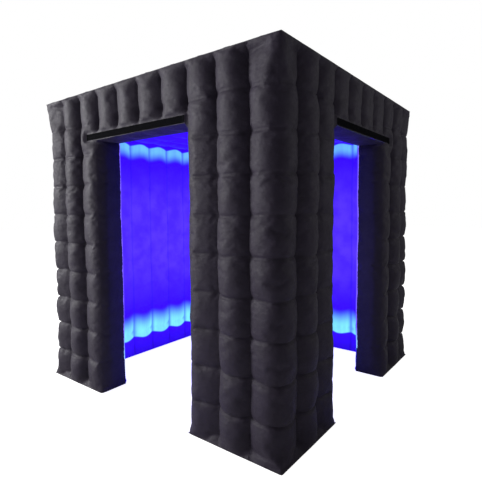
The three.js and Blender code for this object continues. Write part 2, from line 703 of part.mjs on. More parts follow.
// The button's cap stands off the panel by its travel, and its stem reaches into the controller.
const LID_FRONT = -SKIN_BACK + 1;
const LID_REAR = LID_FRONT + LID_THICK;
const capBack = PANEL_FRONT - BUTTON_TRAVEL - GAP;
part(service, "light_button", "greyPlastic",
  joined([
    barAlongY(BUTTON_RADIUS, capBack - BUTTON_CAP_THICK, capBack),
    barAlongY(BUTTON_STEM, capBack - 1, LID_REAR + 3),
  ]), [BUTTON_X, 0, 0]);

part(service, "light_controller_lid", "greyPlastic",
  joined([boxAlongY(CONTROLLER_SIZE, LID_FRONT, LID_REAR)],
    [barAlongY(BUTTON_HOLE, LID_FRONT - 1, LID_REAR + 1)]), [BUTTON_X, 0, 0]);

const CONTROLLER_FRONT = LID_REAR + GAP;
const CONTROLLER_REAR = CONTROLLER_FRONT + CONTROLLER_DEPTH;
const controllerHollow = CONTROLLER_SIZE.map((value) => value - 2 * CONTROLLER_WALL);
part(service, "light_controller_case", "greyPlastic",
  joined([boxAlongY(CONTROLLER_SIZE, CONTROLLER_FRONT, CONTROLLER_REAR)],
    [boxAlongY(controllerHollow, CONTROLLER_FRONT - 1, CONTROLLER_REAR - CONTROLLER_WALL)]),
  [BUTTON_X, 0, 0]);

// --- Leads inside the back wall, drawn in the wall's own frame ---

function lead(points, radius, steps) {
  const corners = points.map((point) => new THREE.Vector3(...point));
  const extrudePath = new THREE.CatmullRomCurve3(corners, false, "centripetal");
  const section = new THREE.Shape();
  section.absarc(0, 0, radius, 0, 2 * Math.PI, false);
  return new THREE.ExtrudeGeometry(section, { steps, curveSegments: 4, bevelEnabled: false, extrudePath });
}

// From the mains inlet, under the baffle and up to the motor.
const motorUnder = BLOWER_Z - MOTOR_RADIUS - 1;
const inletRear = INLET_REAR + GAP;
const inletX = PANEL_X + INLET_X;
const motorY = MOTOR_FACE + MOTOR_LENGTH / 2;
const MOTOR_LEAD = [
  [inletX, inletRear, PANEL_Z],
  [inletX, inletRear + 25, PANEL_Z - 2],
  [inletX + 2, inletRear + 50, PANEL_Z - 30],
  [inletX + 12, inletRear + 72, PANEL_Z - 80],
  [inletX + 40, inletRear + 95, 265],
  [inletX + 100, motorY - 25, 256],
  [2 * CELL, motorY - 8, 254],
  [BLOWER_X - 55, motorY, 258],
  [BLOWER_X - 14, motorY, 284],
  [BLOWER_X, motorY, 325],
  [BLOWER_X, motorY, motorUnder],
];
part(back, "motor_lead", "cable", lead(MOTOR_LEAD, MOTOR_LEAD_RADIUS, 60));

// From the light controller down to the floor tape and up to the ceiling tape.
const controllerX = PANEL_X + BUTTON_X;
const controllerRear = CONTROLLER_REAR + GAP;
const tapeFace = -TAPE_OUT - GAP;
const DOWN_LEAD = [
  [controllerX, controllerRear, PANEL_Z],
  [controllerX, controllerRear + 40, PANEL_Z - 8],
  [controllerX, controllerRear + 80, PANEL_Z - 60],
  [controllerX, controllerRear + 120, PANEL_Z - 130],
  [controllerX, tapeFace - 40, FLOOR_TAPE_Z + 10],
  [controllerX, tapeFace, FLOOR_TAPE_Z + TAPE_HEIGHT / 2],
];
const UP_LEAD = [
  [controllerX, controllerRear, PANEL_Z],
  [controllerX, controllerRear + 40, PANEL_Z + 8],
  [controllerX, controllerRear + 75, PANEL_Z + 60],
  [controllerX, controllerRear + 85, PANEL_Z + 200],
  [controllerX, controllerRear + 85, CEILING / 2 - TIE_HEIGHT],
  [controllerX, controllerRear + 100, CEILING_TAPE_Z - 250],
  [controllerX, controllerRear + 120, CEILING_TAPE_Z - 60],
  [controllerX, tapeFace - 30, CEILING_TAPE_Z],
  [controllerX, tapeFace, CEILING_TAPE_Z + TAPE_HEIGHT / 2],
];
part(back, "light_leads", "cable",
  joined([lead(DOWN_LEAD, LIGHT_LEAD_RADIUS, 24), lead(UP_LEAD, LIGHT_LEAD_RADIUS, 48)]));

// --- Deflation zip on the back wall, closed with the slider at the top ---

const zip = new THREE.Group();
zip.position.set(ZIP_X, 0, 0);
back.add(zip);

const TAPE_FRONT = -ON_SKIN - ZIP_TAPE_THICK;
const COIL_FRONT = TAPE_FRONT - ZIP_TAPE_THICK;
const ZIP_TOP = ZIP_BOTTOM + ZIP_LENGTH;
part(zip, "deflation_zip", "hookTape", joined([
  boxBetween([-ZIP_WIDTH / 2, TAPE_FRONT, ZIP_BOTTOM], [ZIP_WIDTH / 2, -ON_SKIN, ZIP_TOP]),
  boxBetween([-ZIP_COIL_WIDTH / 2, COIL_FRONT, ZIP_BOTTOM + COIL_MARGIN],
    [ZIP_COIL_WIDTH / 2, TAPE_FRONT + 0.5, ZIP_TOP - COIL_MARGIN]),
]));

// The slider runs over the coil, and two ears on it hold the pin that the pull tab hangs from.
const SLIDER_Z = ZIP_TOP - 2 * COIL_MARGIN - SLIDER_SIZE[2] / 2;
const SLIDER_BACK = TAPE_FRONT - GAP;
const SLIDER_FRONT = SLIDER_BACK - SLIDER_SIZE[1];
const PIN_Y = SLIDER_FRONT - GAP - BARREL_RADIUS;
const EAR_IN = TAB_WIDTH / 2 + GAP;
const EAR_OUT = EAR_IN + EAR_THICK;

function slider() {
  const half = SLIDER_SIZE[2] / 2;
  const body = boxBetween([-SLIDER_SIZE[0] / 2, SLIDER_FRONT, -half], [SLIDER_SIZE[0] / 2, SLIDER_BACK, half]);
  const earFront = PIN_Y - 2 * PIN_RADIUS;
  const ear = (low, high) => boxBetween(
    [low, earFront, PIN_Z - EAR_HALF_HEIGHT], [high, SLIDER_FRONT + 0.5, PIN_Z + EAR_HALF_HEIGHT]);
  const pin = barAlongX(PIN_RADIUS, -EAR_OUT + 0.2, EAR_OUT - 0.2, PIN_Y, PIN_Z);
  const channelHalf = ZIP_COIL_WIDTH / 2 + GAP;
  const channel = boxBetween([-channelHalf, COIL_FRONT - GAP, -half - 1],
    [channelHalf, SLIDER_BACK + 1, half + 1]);
  return joined([body, ear(-EAR_OUT, -EAR_IN), ear(EAR_IN, EAR_OUT), pin], [channel]);
}
part(zip, "zip_slider", "metal", slider(), [0, 0, SLIDER_Z]);

function pullTab() {
  const barrel = barAlongX(BARREL_RADIUS, -TAB_WIDTH / 2, TAB_WIDTH / 2, 0, 0, 16);
  const bore = barAlongX(PIN_RADIUS + PIN_PLAY, -TAB_WIDTH, TAB_WIDTH, 0, 0, 16);
  const tab = boxBetween([-TAB_WIDTH / 2, -TAB_THICK / 2, -TAB_LENGTH], [TAB_WIDTH / 2, TAB_THICK / 2, -1]);
  const [slotWidth, slotLength] = TAB_SLOT;
  const slotBottom = 3 - TAB_LENGTH;
  const slot = boxBetween([-slotWidth / 2, -TAB_THICK, slotBottom],
    [slotWidth / 2, TAB_THICK, slotBottom + slotLength]);
  return joined([barrel, tab], [bore, slot]);
}
part(zip, "zip_pull_tab", "metal", pullTab(), [0, PIN_Y, SLIDER_Z + PIN_Z]);

export default booth;
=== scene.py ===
"""The looks of an inflatable photo booth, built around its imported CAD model. Metres, +Z up.

The walls are sewn from long strips of coated cloth, tied to baffles at their seams and blown up from inside.
A few strips of each kind are drawn, a cloth simulation blows most of them up, and every panel is then sewn
from them.
The strips are drawn in the frame of the wall that faces -Y, and the other walls are quarter turns of it.
"""

import json
import math

import bpy
import numpy as np
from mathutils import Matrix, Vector


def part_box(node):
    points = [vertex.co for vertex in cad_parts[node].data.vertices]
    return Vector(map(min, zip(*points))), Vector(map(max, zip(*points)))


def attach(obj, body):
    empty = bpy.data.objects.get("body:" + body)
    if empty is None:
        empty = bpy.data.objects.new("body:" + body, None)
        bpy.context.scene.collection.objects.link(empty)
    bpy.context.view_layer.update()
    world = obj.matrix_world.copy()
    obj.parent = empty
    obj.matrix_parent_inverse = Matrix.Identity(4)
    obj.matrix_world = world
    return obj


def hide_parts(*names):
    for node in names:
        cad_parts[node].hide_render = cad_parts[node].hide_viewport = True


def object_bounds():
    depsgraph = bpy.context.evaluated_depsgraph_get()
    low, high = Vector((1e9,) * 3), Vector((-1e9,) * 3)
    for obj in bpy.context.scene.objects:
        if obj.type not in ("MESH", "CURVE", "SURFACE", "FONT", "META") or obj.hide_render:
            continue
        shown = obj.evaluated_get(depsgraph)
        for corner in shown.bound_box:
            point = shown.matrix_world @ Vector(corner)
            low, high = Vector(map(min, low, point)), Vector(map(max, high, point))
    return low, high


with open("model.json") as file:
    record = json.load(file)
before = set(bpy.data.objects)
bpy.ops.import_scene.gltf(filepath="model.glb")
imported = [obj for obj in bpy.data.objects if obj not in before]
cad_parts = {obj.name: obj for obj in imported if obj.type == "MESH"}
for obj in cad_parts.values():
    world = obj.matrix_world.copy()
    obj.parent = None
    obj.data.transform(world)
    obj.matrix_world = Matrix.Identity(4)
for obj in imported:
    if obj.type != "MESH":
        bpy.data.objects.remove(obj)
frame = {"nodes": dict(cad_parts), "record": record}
CAD_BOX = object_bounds()

# --- The booth's dimensions, from the frame ---

HALF = CAD_BOX[1].x
HEIGHT = CAD_BOX[1].z
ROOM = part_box("lining_back_wall")[0].y  # half the room's width
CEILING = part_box("ceiling_panel")[0].z
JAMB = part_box("front_jamb_right")[0].x
DOOR_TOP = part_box("front_soffit")[0].z
CELL = HALF - ROOM  # the quilting's pitch and the walls' thickness
ROWS = round(HEIGHT / CELL)
WALL_COLUMNS = round(2 * ROOM / CELL)
DOOR_COLUMNS = range(2, WALL_COLUMNS - 2)  # those over a doorway
SKIN_PLANE = -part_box("front_lintel_panel")[0].y  # where the rigid pieces lie on the skin

# --- The quilting ---

FINE = 20  # mesh steps across a strip, and in each row of it
SEAM_DEPTH = 0.045  # of the seams behind the wall's outer plane
EDGE_DEPTH = 0.003  # of the top and bottom edges behind it, and of the top edge under the roof's plane
RISE = 0.062  # how far a strip swells between its seams
LINTEL_RISE = 0.05
LEAST_RISE = 0.001  # so that an arc is never quite straight
CORNER_ARC = 0.155  # rise of the round arc in a corner's or a door edge's shape
CORNER_ROUNDNESS = 0.45  # share of that arc in the shape of a corner
CORNER_RADIUS = 0.09
BOXY_ROUNDNESS = 0.2  # the same for the second kind of corner, which stands further out
BOXY_REACH = 0.015
BOXY_RADIUS = 0.07
SHARP_RADIUS = 0.012  # of a corner at the roof and at the floor
DOOR_EDGE_ROUNDNESS = 0.2
DOOR_EDGE_REACH = (0.018, 0.010)  # of a door's edge into the doorway and out of the wall
DOOR_EDGE_RADIUS = 0.06
DOOR_EDGE_END_REACH = 0.004
DOOR_EDGE_END_RADIUS = 0.03
CREASE = 0.028  # how far a tie draws the strip in at each row
CREASE_SHARPNESS = 0.55
TOP_SLACK = 0.05
ROW_VARIATION = (0.75, 1.25)
FIRST_ROW_CREASE = 0.5  # extra strength of the crease under the top row
CREASE_START = 0.3  # of a strip's width, in which its creases grow to their full depth
WEAK_CREASE = 0.6  # depth of a door edge's creases, to the other strips'
FACE_START = 0.42  # share of a door's edge strip before its face
TUFT = 0.014  # extra depth where a tie meets a seam
TUFT_SIZE = 0.03
TIE_BACK = (0, 1)  # the ties of the wall that faces -Y pull this way in plan
TIE_SIDEWAYS = (-1, 0)
LUMPS = ((4, 0.003), (9, 0.004))  # unevenness of a strip: its size in mesh steps, and its depth
END_ROUNDING = 0.06  # height in which a strip's swelling dies out at its top or bottom edge
CORNER_TOP = 0.40  # height in which a corner turns from sharp at the roof to round
CORNER_BOTTOM = 0.14
SAG = 0.010  # of a crease between its ends
SAG_REACH = 0.06
SAG_LUMP = 14
SOFFIT_DROOP = 0.014
RIPPLE_SIZE = 5
EDGE_BLEND = 0.10  # height in which a door's edge turns into the seam over it
SKIN_GAP = 0.001  # between the skin and what is fixed on it
DRIFT = 0.0028
DRIFT_START = 0.2  # height in which the drift grows
FLAT_STRIPS = 4  # different ones, and as many over the doorways
LINING_SWELL = 0.55  # of a lining's swelling to a skin's
LINING_ROUNDING = 0.05

# --- The cloth simulation ---

SIM_FRAMES = 22
CLOTH_SETTINGS = {
    "vertex_group_mass": "held",
    "use_pressure": True,
    "uniform_pressure_force": 4,
    "shrink_min": -0.014,
    "mass": 0.2,
    "quality": 4,
    "tension_stiffness": 15,
    "compression_stiffness": 15,
    "shear_stiffness": 5,
    "bending_stiffness": 0.1,
    "air_damping": 4,
}
FURTHEST = 0.012  # that a point may move
HELD_CREASE = 0.8  # how strongly a tie holds the middle of a crease
GROOVE = 0.014  # depth of the groove that a tie's thread cuts along a crease
EDGE_GROOVE_START = 0.1  # share of a door edge's face before its grooves

# --- Hems, baffles and tape ---

FRONT, SIDE, BACK, LEFT = range(4)  # the walls, by their quarter turns
STARTS = (0, 1, 5, 1)  # so that the walls don't all start with the same strip
HEM_STEPS = 1  # of the mesh across a jamb
HEM_BOTTOM = 0.22
HEM_LIFT = 0.0015  # of a hem off the jamb
NO_SEAM = 1.0  # the distance to the nearest seam where a patch has none
BASE_LIFT = 0.002
WEB_STEPS = 4
TIE_HEIGHT = 0.03
LIGHT_CLEARANCE = 0.02  # between a lintel's baffle and the lining, where the light tape runs
TAPE_STEP = 0.02
TAPE_AROUND = 24  # points round the tape's section
TAPE_SQUARENESS = 0.35
TAPE_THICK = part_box("front_hook_strip")[1].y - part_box("front_hook_strip")[0].y
TAPE_FLAT = (0.004, 0.03)  # border of flat skin round it, and the width in which it swells again
GRILLE_FLAT = (0.01, 0.045)
BACK_FLATS = {
    "blower_case_front": (0.006, 0.04),
    "service_panel": (0.01, 0.035),
    "deflation_zip": (0.012, 0.03),
}
GRILLE_HOLE = 0.7  # of the skin's hole to the grille's flange
PANEL_HOLE = -0.014  # of the skin's hole beyond the service panel's edge

# --- The cloth's finish and the light painted on the lining ---

CLOTH_PITCH = 0.0012
STITCH_INSET = 0.007
STITCH_WIDTH = 0.0012
STITCH_PITCH = 0.004
STITCH_SHARE = 0.7  # of a stitch's length that shows
PUCKER_REACH = 0.05
RIB_PITCH = 0.0025
FLOOR_BAND = (0.27, 1.0)  # reach and strength of the light painted on the lining over the floor tape
CEILING_BAND = (0.162, 0.62)
GLOW_SCALLOP = 0.022  # how far a band's edge curves down or up in the middle of a column
FLOOR_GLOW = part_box("light_tape_floor_long")[1].z - 0.02
CEILING_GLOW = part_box("light_tape_ceiling")[0].z - 0.04
THREAD = (0.05, 0.048, 0.055, 1)
# Colours of the light painted on the lining: its bands, and a highlight on the doors' hems
CYAN_BAND_GLOW = (0.24, 0.92, 1.0, 1)
LILAC_HEM_HIGHLIGHT = (0.55, 0.36, 1.0, 1)

# --- The studio ---

CAMERA_PLACE = (2.439, -3.221, 1.536)
CAMERA_TURN = (86.57, 0.5, 38.5)  # degrees
CAMERA_LENS = 29.75
CAMERA_SHIFT = (0.026, -0.033)
FLOOR_REACH = 30
FLOOR_SEEN = 0.95
ROOM_LIGHT = 0.17
SOFT_BOXES = {  # place, size and power
    "key": ((-9.0, -7.5, 4.1), 5.4, 1500),
    "rim": ((6.0, 3.5, 3.0), 2.5, 40),
    "top": ((-1.0, 0.5, 7.0), 4.0, 130),
}
GLOW_PLACE = (0, 0, 0.7)
GLOW_POWER = 14
GLOW_COLOUR = (0.12, 0.03, 1.0)
GLOW_SIZE = 0.4

SEAM = HALF - SEAM_DEPTH
EDGE = HALF - EDGE_DEPTH
TOP_EDGE = HEIGHT - EDGE_DEPTH
HEIGHTS = np.linspace(0, HEIGHT, ROWS * FINE + 1)  # of the mesh rows of a strip
BOTH = (True, True)
NEITHER = (False, False)

# --- Strips, drawn in the frame of the wall that faces -Y, as arrays of points: rows up, columns across ---


def smooth(x):
    """0 below 0, 1 above 1 and an easy curve between."""
    x = np.clip(x, 0, 1)
    return x * x * (3 - 2 * x)


def arc_points(start, end, rise, t):
    """Points at the shares t of the arc from start to end, which stands rise proud of its chord."""
    start, end = np.array(start), np.array(end)
    chord = np.linalg.norm(end - start)
    along = (end - start) / chord
    out = np.array([along[1], -along[0]])
    radius = (chord**2 / 4 + rise**2) / (2 * rise)
    centre = (start + end) / 2 + out * (rise - radius)
    reach = math.atan2(chord / 2, radius - rise)
    angle = (2 * t - 1) * reach
    return centre + radius * (np.outer(np.sin(angle), along) + np.outer(np.cos(angle), out))


def bent_points(start, corner, end, radius, t):
    """Points at the shares t of the way from start to end round a corner of that radius."""
    start, corner, end = np.array(start), np.array(corner), np.array(end)
    first, last = np.linalg.norm(corner - start), np.linalg.norm(end - corner)
    into, away = (corner - start) / first, (end - corner) / last
    turn = math.acos(np.clip(into @ away, -1, 1))
    cut = radius * math.tan(turn / 2)
    lengths = np.array([first - cut, radius * turn, last - cut])
    at = t * lengths.sum()
    left = np.array([-into[1], into[0]])
    centre = corner - into * cut + left * radius
    angle = np.clip((at - lengths[0]) / radius, 0, turn)
    round_part = centre + radius * (np.outer(np.sin(angle), into) - np.outer(np.cos(angle), left))
    before = np.minimum(at - lengths[0], 0)
    after = np.maximum(at - lengths[:2].sum(), 0)
    return round_part + np.outer(before, into) + np.outer(after, away)


def end_share(z, over_top=END_ROUNDING, over_bottom=END_ROUNDING):
    """1 at the top and bottom edges of a wall, falling to 0 over a height from each."""
    return 1 - smooth(np.minimum(z / over_bottom, (HEIGHT - z) / over_top))


def swell_share(z):
    """How much of its full swelling a strip has, from nothing at its top and bottom edges."""
    inside = np.clip(np.minimum(z, HEIGHT - z) / END_ROUNDING, 0, 1)
    return np.sqrt(1 - (1 - inside) ** 2)


def seam_out(z):
    """How far from the booth's middle a seam lies. It comes out at the wall's top and bottom edges."""
    return SEAM + (EDGE - SEAM) * end_share(z)


def flat_section(z, t, rise=RISE):
    seam = seam_out(z)
    crest = EDGE + (SEAM + rise - EDGE) * swell_share(z)
    return arc_points((-CELL / 2, -seam), (CELL / 2, -seam), crest - seam + LEAST_RISE, t)


def lintel_section(z, t):
    return flat_section(z, t, LINTEL_RISE)


def corner_section(z, t, roundness=CORNER_ROUNDNESS, reach=HALF, radius=CORNER_RADIUS):
    """From the last seam of the front round the corner to the first seam of the side."""
    seam = seam_out(z)
    ends = end_share(z, CORNER_TOP, CORNER_BOTTOM)
    start, end = (ROOM, -seam), (seam, -ROOM)
    full = arc_points(start, end, CORNER_ARC, t)
    boxy = bent_points(start, (reach, -reach), end, radius, t)
    sharp = bent_points(start, (EDGE, -EDGE), end, SHARP_RADIUS, t)
    return (roundness * full + (1 - roundness) * boxy) * (1 - ends) + sharp * ends


def boxy_corner_section(z, t):
    return corner_section(z, t, BOXY_ROUNDNESS, HALF + BOXY_REACH, BOXY_RADIUS)


def edge_section(z, t):
    """From the lining's seam along the jamb at x = 0 and round the door's edge to the seam on the face."""
    ends = end_share(z)
    seam = seam_out(z)
    start, end = (0, -ROOM), (CELL, -seam)
    full = arc_points(start, end, CORNER_ARC, t)
    corner = (-DOOR_EDGE_REACH[0], -HALF - DOOR_EDGE_REACH[1])
    boxy = bent_points(start, corner, end, DOOR_EDGE_RADIUS, t)
    straight = bent_points(start, (-DOOR_EDGE_END_REACH, -EDGE), end, DOOR_EDGE_END_RADIUS, t)
    return (DOOR_EDGE_ROUNDNESS * full + (1 - DOOR_EDGE_ROUNDNESS) * boxy) * (1 - ends) + straight * ends


def lumps(shape, size, seed):
    """A smooth random field over a grid, from -1 to 1, with lumps of about size steps."""
    field = np.random.RandomState(seed).uniform(-1, 1, [int(n / size) + 3 for n in shape])
    for axis, n in enumerate(shape):
        at = np.arange(n) / size
        low = at.astype(int)
        share = np.expand_dims(smooth(at - low), 1 - axis)
        field = np.take(field, low, axis) * (1 - share) + np.take(field, low + 1, axis) * share
    return field


def slackness():
    """How slack a strip hangs at each row: the upper rows are drawn tight, and the lower ones crease more."""
    return TOP_SLACK + np.linspace(1, 0, ROWS + 1)


def row_strengths(seed, first_row):
    """How deep each row's crease is, and how much deeper than the others that under the first row is."""
    numbers = np.random.RandomState(seed)
    strengths = slackness() * numbers.uniform(*ROW_VARIATION, ROWS + 1)
    strengths[-2] += first_row
    return strengths


def inward_from(points):
    """The directions into the wall, in plan, at a grid's points."""
    across = np.gradient(points[:, :, :2], axis=1)
    across /= np.linalg.norm(across, axis=2, keepdims=True)
    return np.stack([-across[:, :, 1], across[:, :, 0]], -1)


def creased_share(t, creased_from):
    """How deep creases are across a strip. Those that only start part of the way across stay weak."""
    return WEAK_CREASE * smooth((t - creased_from) / CREASE_START) if creased_from else 1


def strip(section, heights, steps, seed, ties, first_row=0.0, creased_from=0.0):
    """A strip from its section at each height, drawn in at its rows. Each end that is a tied seam has the way
    in which its ties pull, in plan. The creases only start at a share of the way across."""
    t = np.linspace(0, 1, steps + 1)
    points = np.array([np.c_[section(z, t), np.full(steps + 1, z)] for z in heights])
    inward = inward_from(points)
    middle = np.sin(np.pi * t) ** 0.5
    row = np.rint(heights / CELL).astype(int)
    off_row = heights / CELL - row
    crease = 1 - np.abs(np.sin(np.pi * off_row)) ** CREASE_SHARPNESS
    inside = swell_share(heights)
    creased = creased_share(t, creased_from)
    draw = CREASE * (crease * row_strengths(seed, first_row)[row] * inside)[:, None] * middle * creased
    for size, depth in LUMPS:
        uneven = depth * lumps(draw.shape, size, seed + size)
        draw += uneven * inside[:, None] * middle * (0.3 + 0.7 * creased)
    points[:, :, :2] += inward * draw[:, :, None]
    tie = TUFT * np.exp(-((off_row * CELL / TUFT_SIZE) ** 2)) * inside
    near_seam = np.exp(-((t * CELL * steps / FINE / TUFT_SIZE) ** 2))
    for way, share in zip(ties, (near_seam, near_seam[::-1])):
        if way is not None:
            points[:, :, :2] += (tie[:, None] * share)[:, :, None] * np.array(way)
    near_row = np.exp(-((off_row * CELL / SAG_REACH) ** 2)) * inside
    wander = lumps(draw.shape, SAG_LUMP, seed + 2)
    points[:, :, 2] -= near_row[:, None] * SAG * (1 + wander) * middle * creased
    return points


def edge_strips(seed):
    """The strip at a doorway's edge, as its face and its jamb. Over the doorway it is sewn to the lintel."""
    whole = strip(edge_section, HEIGHTS, 2 * FINE, seed, (None, TIE_BACK), creased_from=FACE_START)
    over = shifted(strip(lintel_section, HEIGHTS, FINE, seed, (TIE_BACK, TIE_BACK)), CELL / 2)
    share = smooth((HEIGHTS - DOOR_TOP) / EDGE_BLEND + 1)[:, None, None]
    face = whole[:, FINE:] * (1 - share) + over * share
    jamb = whole[HEIGHTS <= DOOR_TOP + 1e-6, : FINE + 1]
    follow = np.linspace(0, 1, FINE + 1)[None, :, None] ** 2
    return face, jamb + (face[: len(jamb), :1] - jamb[:, -1:]) * follow


def lintel_strips(seed):
    """The strip over a doorway, as its face, which ends flat behind the hook tape, and its soffit."""
    face = strip(lintel_section, HEIGHTS[HEIGHTS >= DOOR_TOP - 1e-6], FINE, seed, (TIE_BACK, TIE_BACK))
    bow = np.sin(np.pi * np.linspace(0, 1, FINE + 1))
    soffit = np.zeros((FINE + 1, FINE + 1, 3))
    soffit[:, :, 0] = face[0, :, 0]
    soffit[:, :, 1] = -np.linspace(ROOM, SKIN_PLANE - SKIN_GAP, FINE + 1)[:, None]
    droop = np.outer(bow, 0.35 + 0.65 * bow)
    ripple = lumps(droop.shape, RIPPLE_SIZE, seed) * np.outer(bow, bow)
    soffit[:, :, 2] = DOOR_TOP - SOFFIT_DROOP * (droop + 0.25 * ripple)
    return face, soffit


def strip_library():
    """The strips that every panel is sewn from, in their shape before the cloth simulation."""
    seeds = range(0, 10 * FLAT_STRIPS, 10)
    tied = (TIE_BACK, TIE_BACK)
    library = {"flat": [strip(flat_section, HEIGHTS, FINE, seed, tied, FIRST_ROW_CREASE) for seed in seeds]}
    library["lintel"], library["soffit"] = map(list, zip(*(lintel_strips(200 + seed) for seed in seeds)))
    tied = (TIE_BACK, TIE_SIDEWAYS)
    corners = ((corner_section, 50), (boxy_corner_section, 60))
    library["corner"] = [strip(section, HEIGHTS, 2 * FINE, seed, tied) for section, seed in corners]
    library["edge"], library["jamb"] = map(list, zip(*(edge_strips(seed) for seed in (80, 90))))
    return library


# --- Blowing the strips up: a cloth simulation whose result is read back into the library ---


def holding(points, left, right, held_from=0):
    """How strongly each point of a strip is held, from 0 to 1. Its ties hold its rows, from a column on."""
    held = np.zeros(points.shape[:2])
    row = np.arange(0, len(held), FINE)
    held[row, held_from:] = HELD_CREASE * slackness()[: len(row), None]
    if left:
        held[row, :3] = held[:, 0] = 1
    if right:
        held[row, -3:] = held[:, -1] = 1
    held[[0, -1]] = 1
    return held


def numbered(grid, first=0):
    """The vertex number of each point of a grid."""
    return np.arange(grid.shape[0] * grid.shape[1]).reshape(grid.shape[:2]) + first


def grid_faces(index):
    """The quads of a grid of vertex numbers."""
    corners = index[:-1, :-1], index[:-1, 1:], index[1:, 1:], index[1:, :-1]
    return np.stack(corners, -1).reshape(-1, 4)


def simulate(library):
    """Blows up all strips but those over the doorways, as one cloth, and puts the result in the library."""
    points, faces, held, places = [], [], [], []

    def add(kind, number, weights, right_edge=None):
        grid = library[kind][number]
        index = numbered(grid, sum(len(part) for part in points))
        points.append(grid.reshape(-1, 3))
        held.append(weights.ravel())
        if right_edge is not None:
            index[:, -1] = right_edge[: len(index)]
        faces.append(grid_faces(index))
        places.append((kind, number, index))
        return index

    for kind in ("flat", "corner"):
        for number, grid in enumerate(library[kind]):
            add(kind, number, holding(grid, True, True))
    for number, (face, jamb) in enumerate(zip(library["edge"], library["jamb"])):
        weights = holding(face, False, True, FINE // 4)
        weights[len(jamb) - 1 :, 0] = 1
        face_index = add("edge", number, weights)
        add("jamb", number, holding(jamb, True, False, FINE), face_index[:, 0])
    blown = blown_up(*(np.concatenate(parts) for parts in (points, faces, held)))
    for kind, number, index in places:
        library[kind][number] = blown[index]
    for kind, grooved_from in (("flat", 0.0), ("corner", 0.0), ("edge", EDGE_GROOVE_START)):
        library[kind] = [grooved(grid, grooved_from) for grid in library[kind]]


def grooved(grid, grooved_from):
    """Cuts the groove of a tie's thread into each crease of a strip, from a share of its width on."""
    rows = np.arange(FINE, grid.shape[0] - 1, FINE)
    t = np.linspace(0, 1, grid.shape[1])
    share = np.sin(np.pi * t) ** 0.5 * creased_share(t, grooved_from)
    depth = GROOVE * slackness()[1 : len(rows) + 1, None] * share
    result = grid.copy()
    result[rows, :, :2] += inward_from(grid[rows]) * depth[:, :, None]
    return result


def linked(name, data):
    """A new object in the scene."""
    made = bpy.data.objects.new(name, data)
    bpy.context.scene.collection.objects.link(made)
    return made


def blown_up(points, faces, held):
    """The points of a cloth, cut a little larger than its shape, after air pressure has swelled it."""
    mesh = bpy.data.meshes.new("strips")
    mesh.from_pydata(points.tolist(), [], faces.tolist())
    cloth = linked("strips", mesh)
    group = cloth.vertex_groups.new(name="held")
    for value in np.unique(held):
        group.add(np.nonzero(held == value)[0].tolist(), float(value), "REPLACE")
    modifier = cloth.modifiers.new("Blown up", "CLOTH")
    for name, value in CLOTH_SETTINGS.items():
        setattr(modifier.settings, name, value)
    modifier.settings.effector_weights.gravity = 0
    modifier.collision_settings.use_collision = False
    scene = bpy.context.scene
    for number in range(1, SIM_FRAMES + 1):
        scene.frame_set(number)
    evaluated = cloth.evaluated_get(bpy.context.evaluated_depsgraph_get())
    moved = np.empty(len(points) * 3, np.float32)
    evaluated.data.vertices.foreach_get("co", moved)
    step = moved.reshape(-1, 3) - points
    scene.frame_set(1)
    bpy.data.objects.remove(cloth)
    bpy.data.meshes.remove(mesh)
    length = np.linalg.norm(step, axis=1, keepdims=True)
    return points + step * np.minimum(1, FURTHEST / np.maximum(length, 1e-9))


# --- Placing strips: copies, mirror images and quarter turns ---


def shifted(grid, x):
    return grid + (x, 0, 0)


def mirrored(grid):
    """The mirror image across the plane x = 0, with its outside still outside."""
    return (grid * (-1, 1, 1))[:, ::-1]


def diagonal_mirror(grid):
    """A corner strip's mirror image across the corner's diagonal."""
    return np.stack([-grid[:, :, 1], -grid[:, :, 0], grid[:, :, 2]], -1)[:, ::-1]


def turned(grid, turns):
    for _ in range(turns % 4):
        grid = np.stack([-grid[..., 1], grid[..., 0], grid[..., 2]], -1)
    return grid


def varied(library, kind, number):
    """One of a kind's strips for a column, with every second round of them mirrored."""
    strips = library[kind]
    grid = strips[(7 * number + number // 3) % len(strips)]
    return mirrored(grid) if (number // 2) % 2 else grid


def column_middle(number):
    """The middle of a wall's column, counted from its left end."""
    return -ROOM + (number + 0.5) * CELL


def column(library, kind, number, variant):
    """One of a kind's strips, in the place of a wall's column."""
    return shifted(varied(library, kind, variant), column_middle(number))


def drifted(grid):
    """A slow drift of the whole booth, because no seam of a blown-up wall is quite straight."""
    x, y, z = np.moveaxis(grid, -1, 0)
    free = smooth(z / DRIFT_START) * smooth((HEIGHT - z) / DRIFT_START)
    drift = np.stack([
        np.sin(5.1 * z + 2.3 * y + 0.4) + 0.7 * np.sin(11.3 * z - 1.9 * y),
        np.sin(4.7 * z - 2.1 * x + 1.9) + 0.7 * np.sin(12.1 * z + 2.7 * x),
        np.sin(3.9 * x + 4.3 * y) * 0.8,
    ], -1)
    return grid + DRIFT * drift * free[..., None]


def beyond(grid, rectangle):
    """How far each point of a wall lies outside a rectangle in x and z."""
    (x0, z0), (x1, z1) = rectangle
    outside_x = np.maximum(np.maximum(x0 - grid[..., 0], grid[..., 0] - x1), 0)
    outside_z = np.maximum(np.maximum(z0 - grid[..., 2], grid[..., 2] - z1), 0)
    return np.hypot(outside_x, outside_z)


def flattened(grid, rectangle, border, fade):
    """Draws a wall's skin onto the plane behind something flat that is fixed on it."""
    share = 1 - smooth((beyond(grid, rectangle) - border) / fade)
    result = grid.copy()
    result[..., 1] += (SKIN_GAP - SKIN_PLANE - grid[..., 1]) * share
    return result


def hemmed(grid):
    """Lowers a wall's top edge to the seam with the roof."""
    z = grid[..., 2]
    return grid - np.stack([0 * z, 0 * z, EDGE_DEPTH * end_share(z) * (z > HEIGHT / 2)], -1)


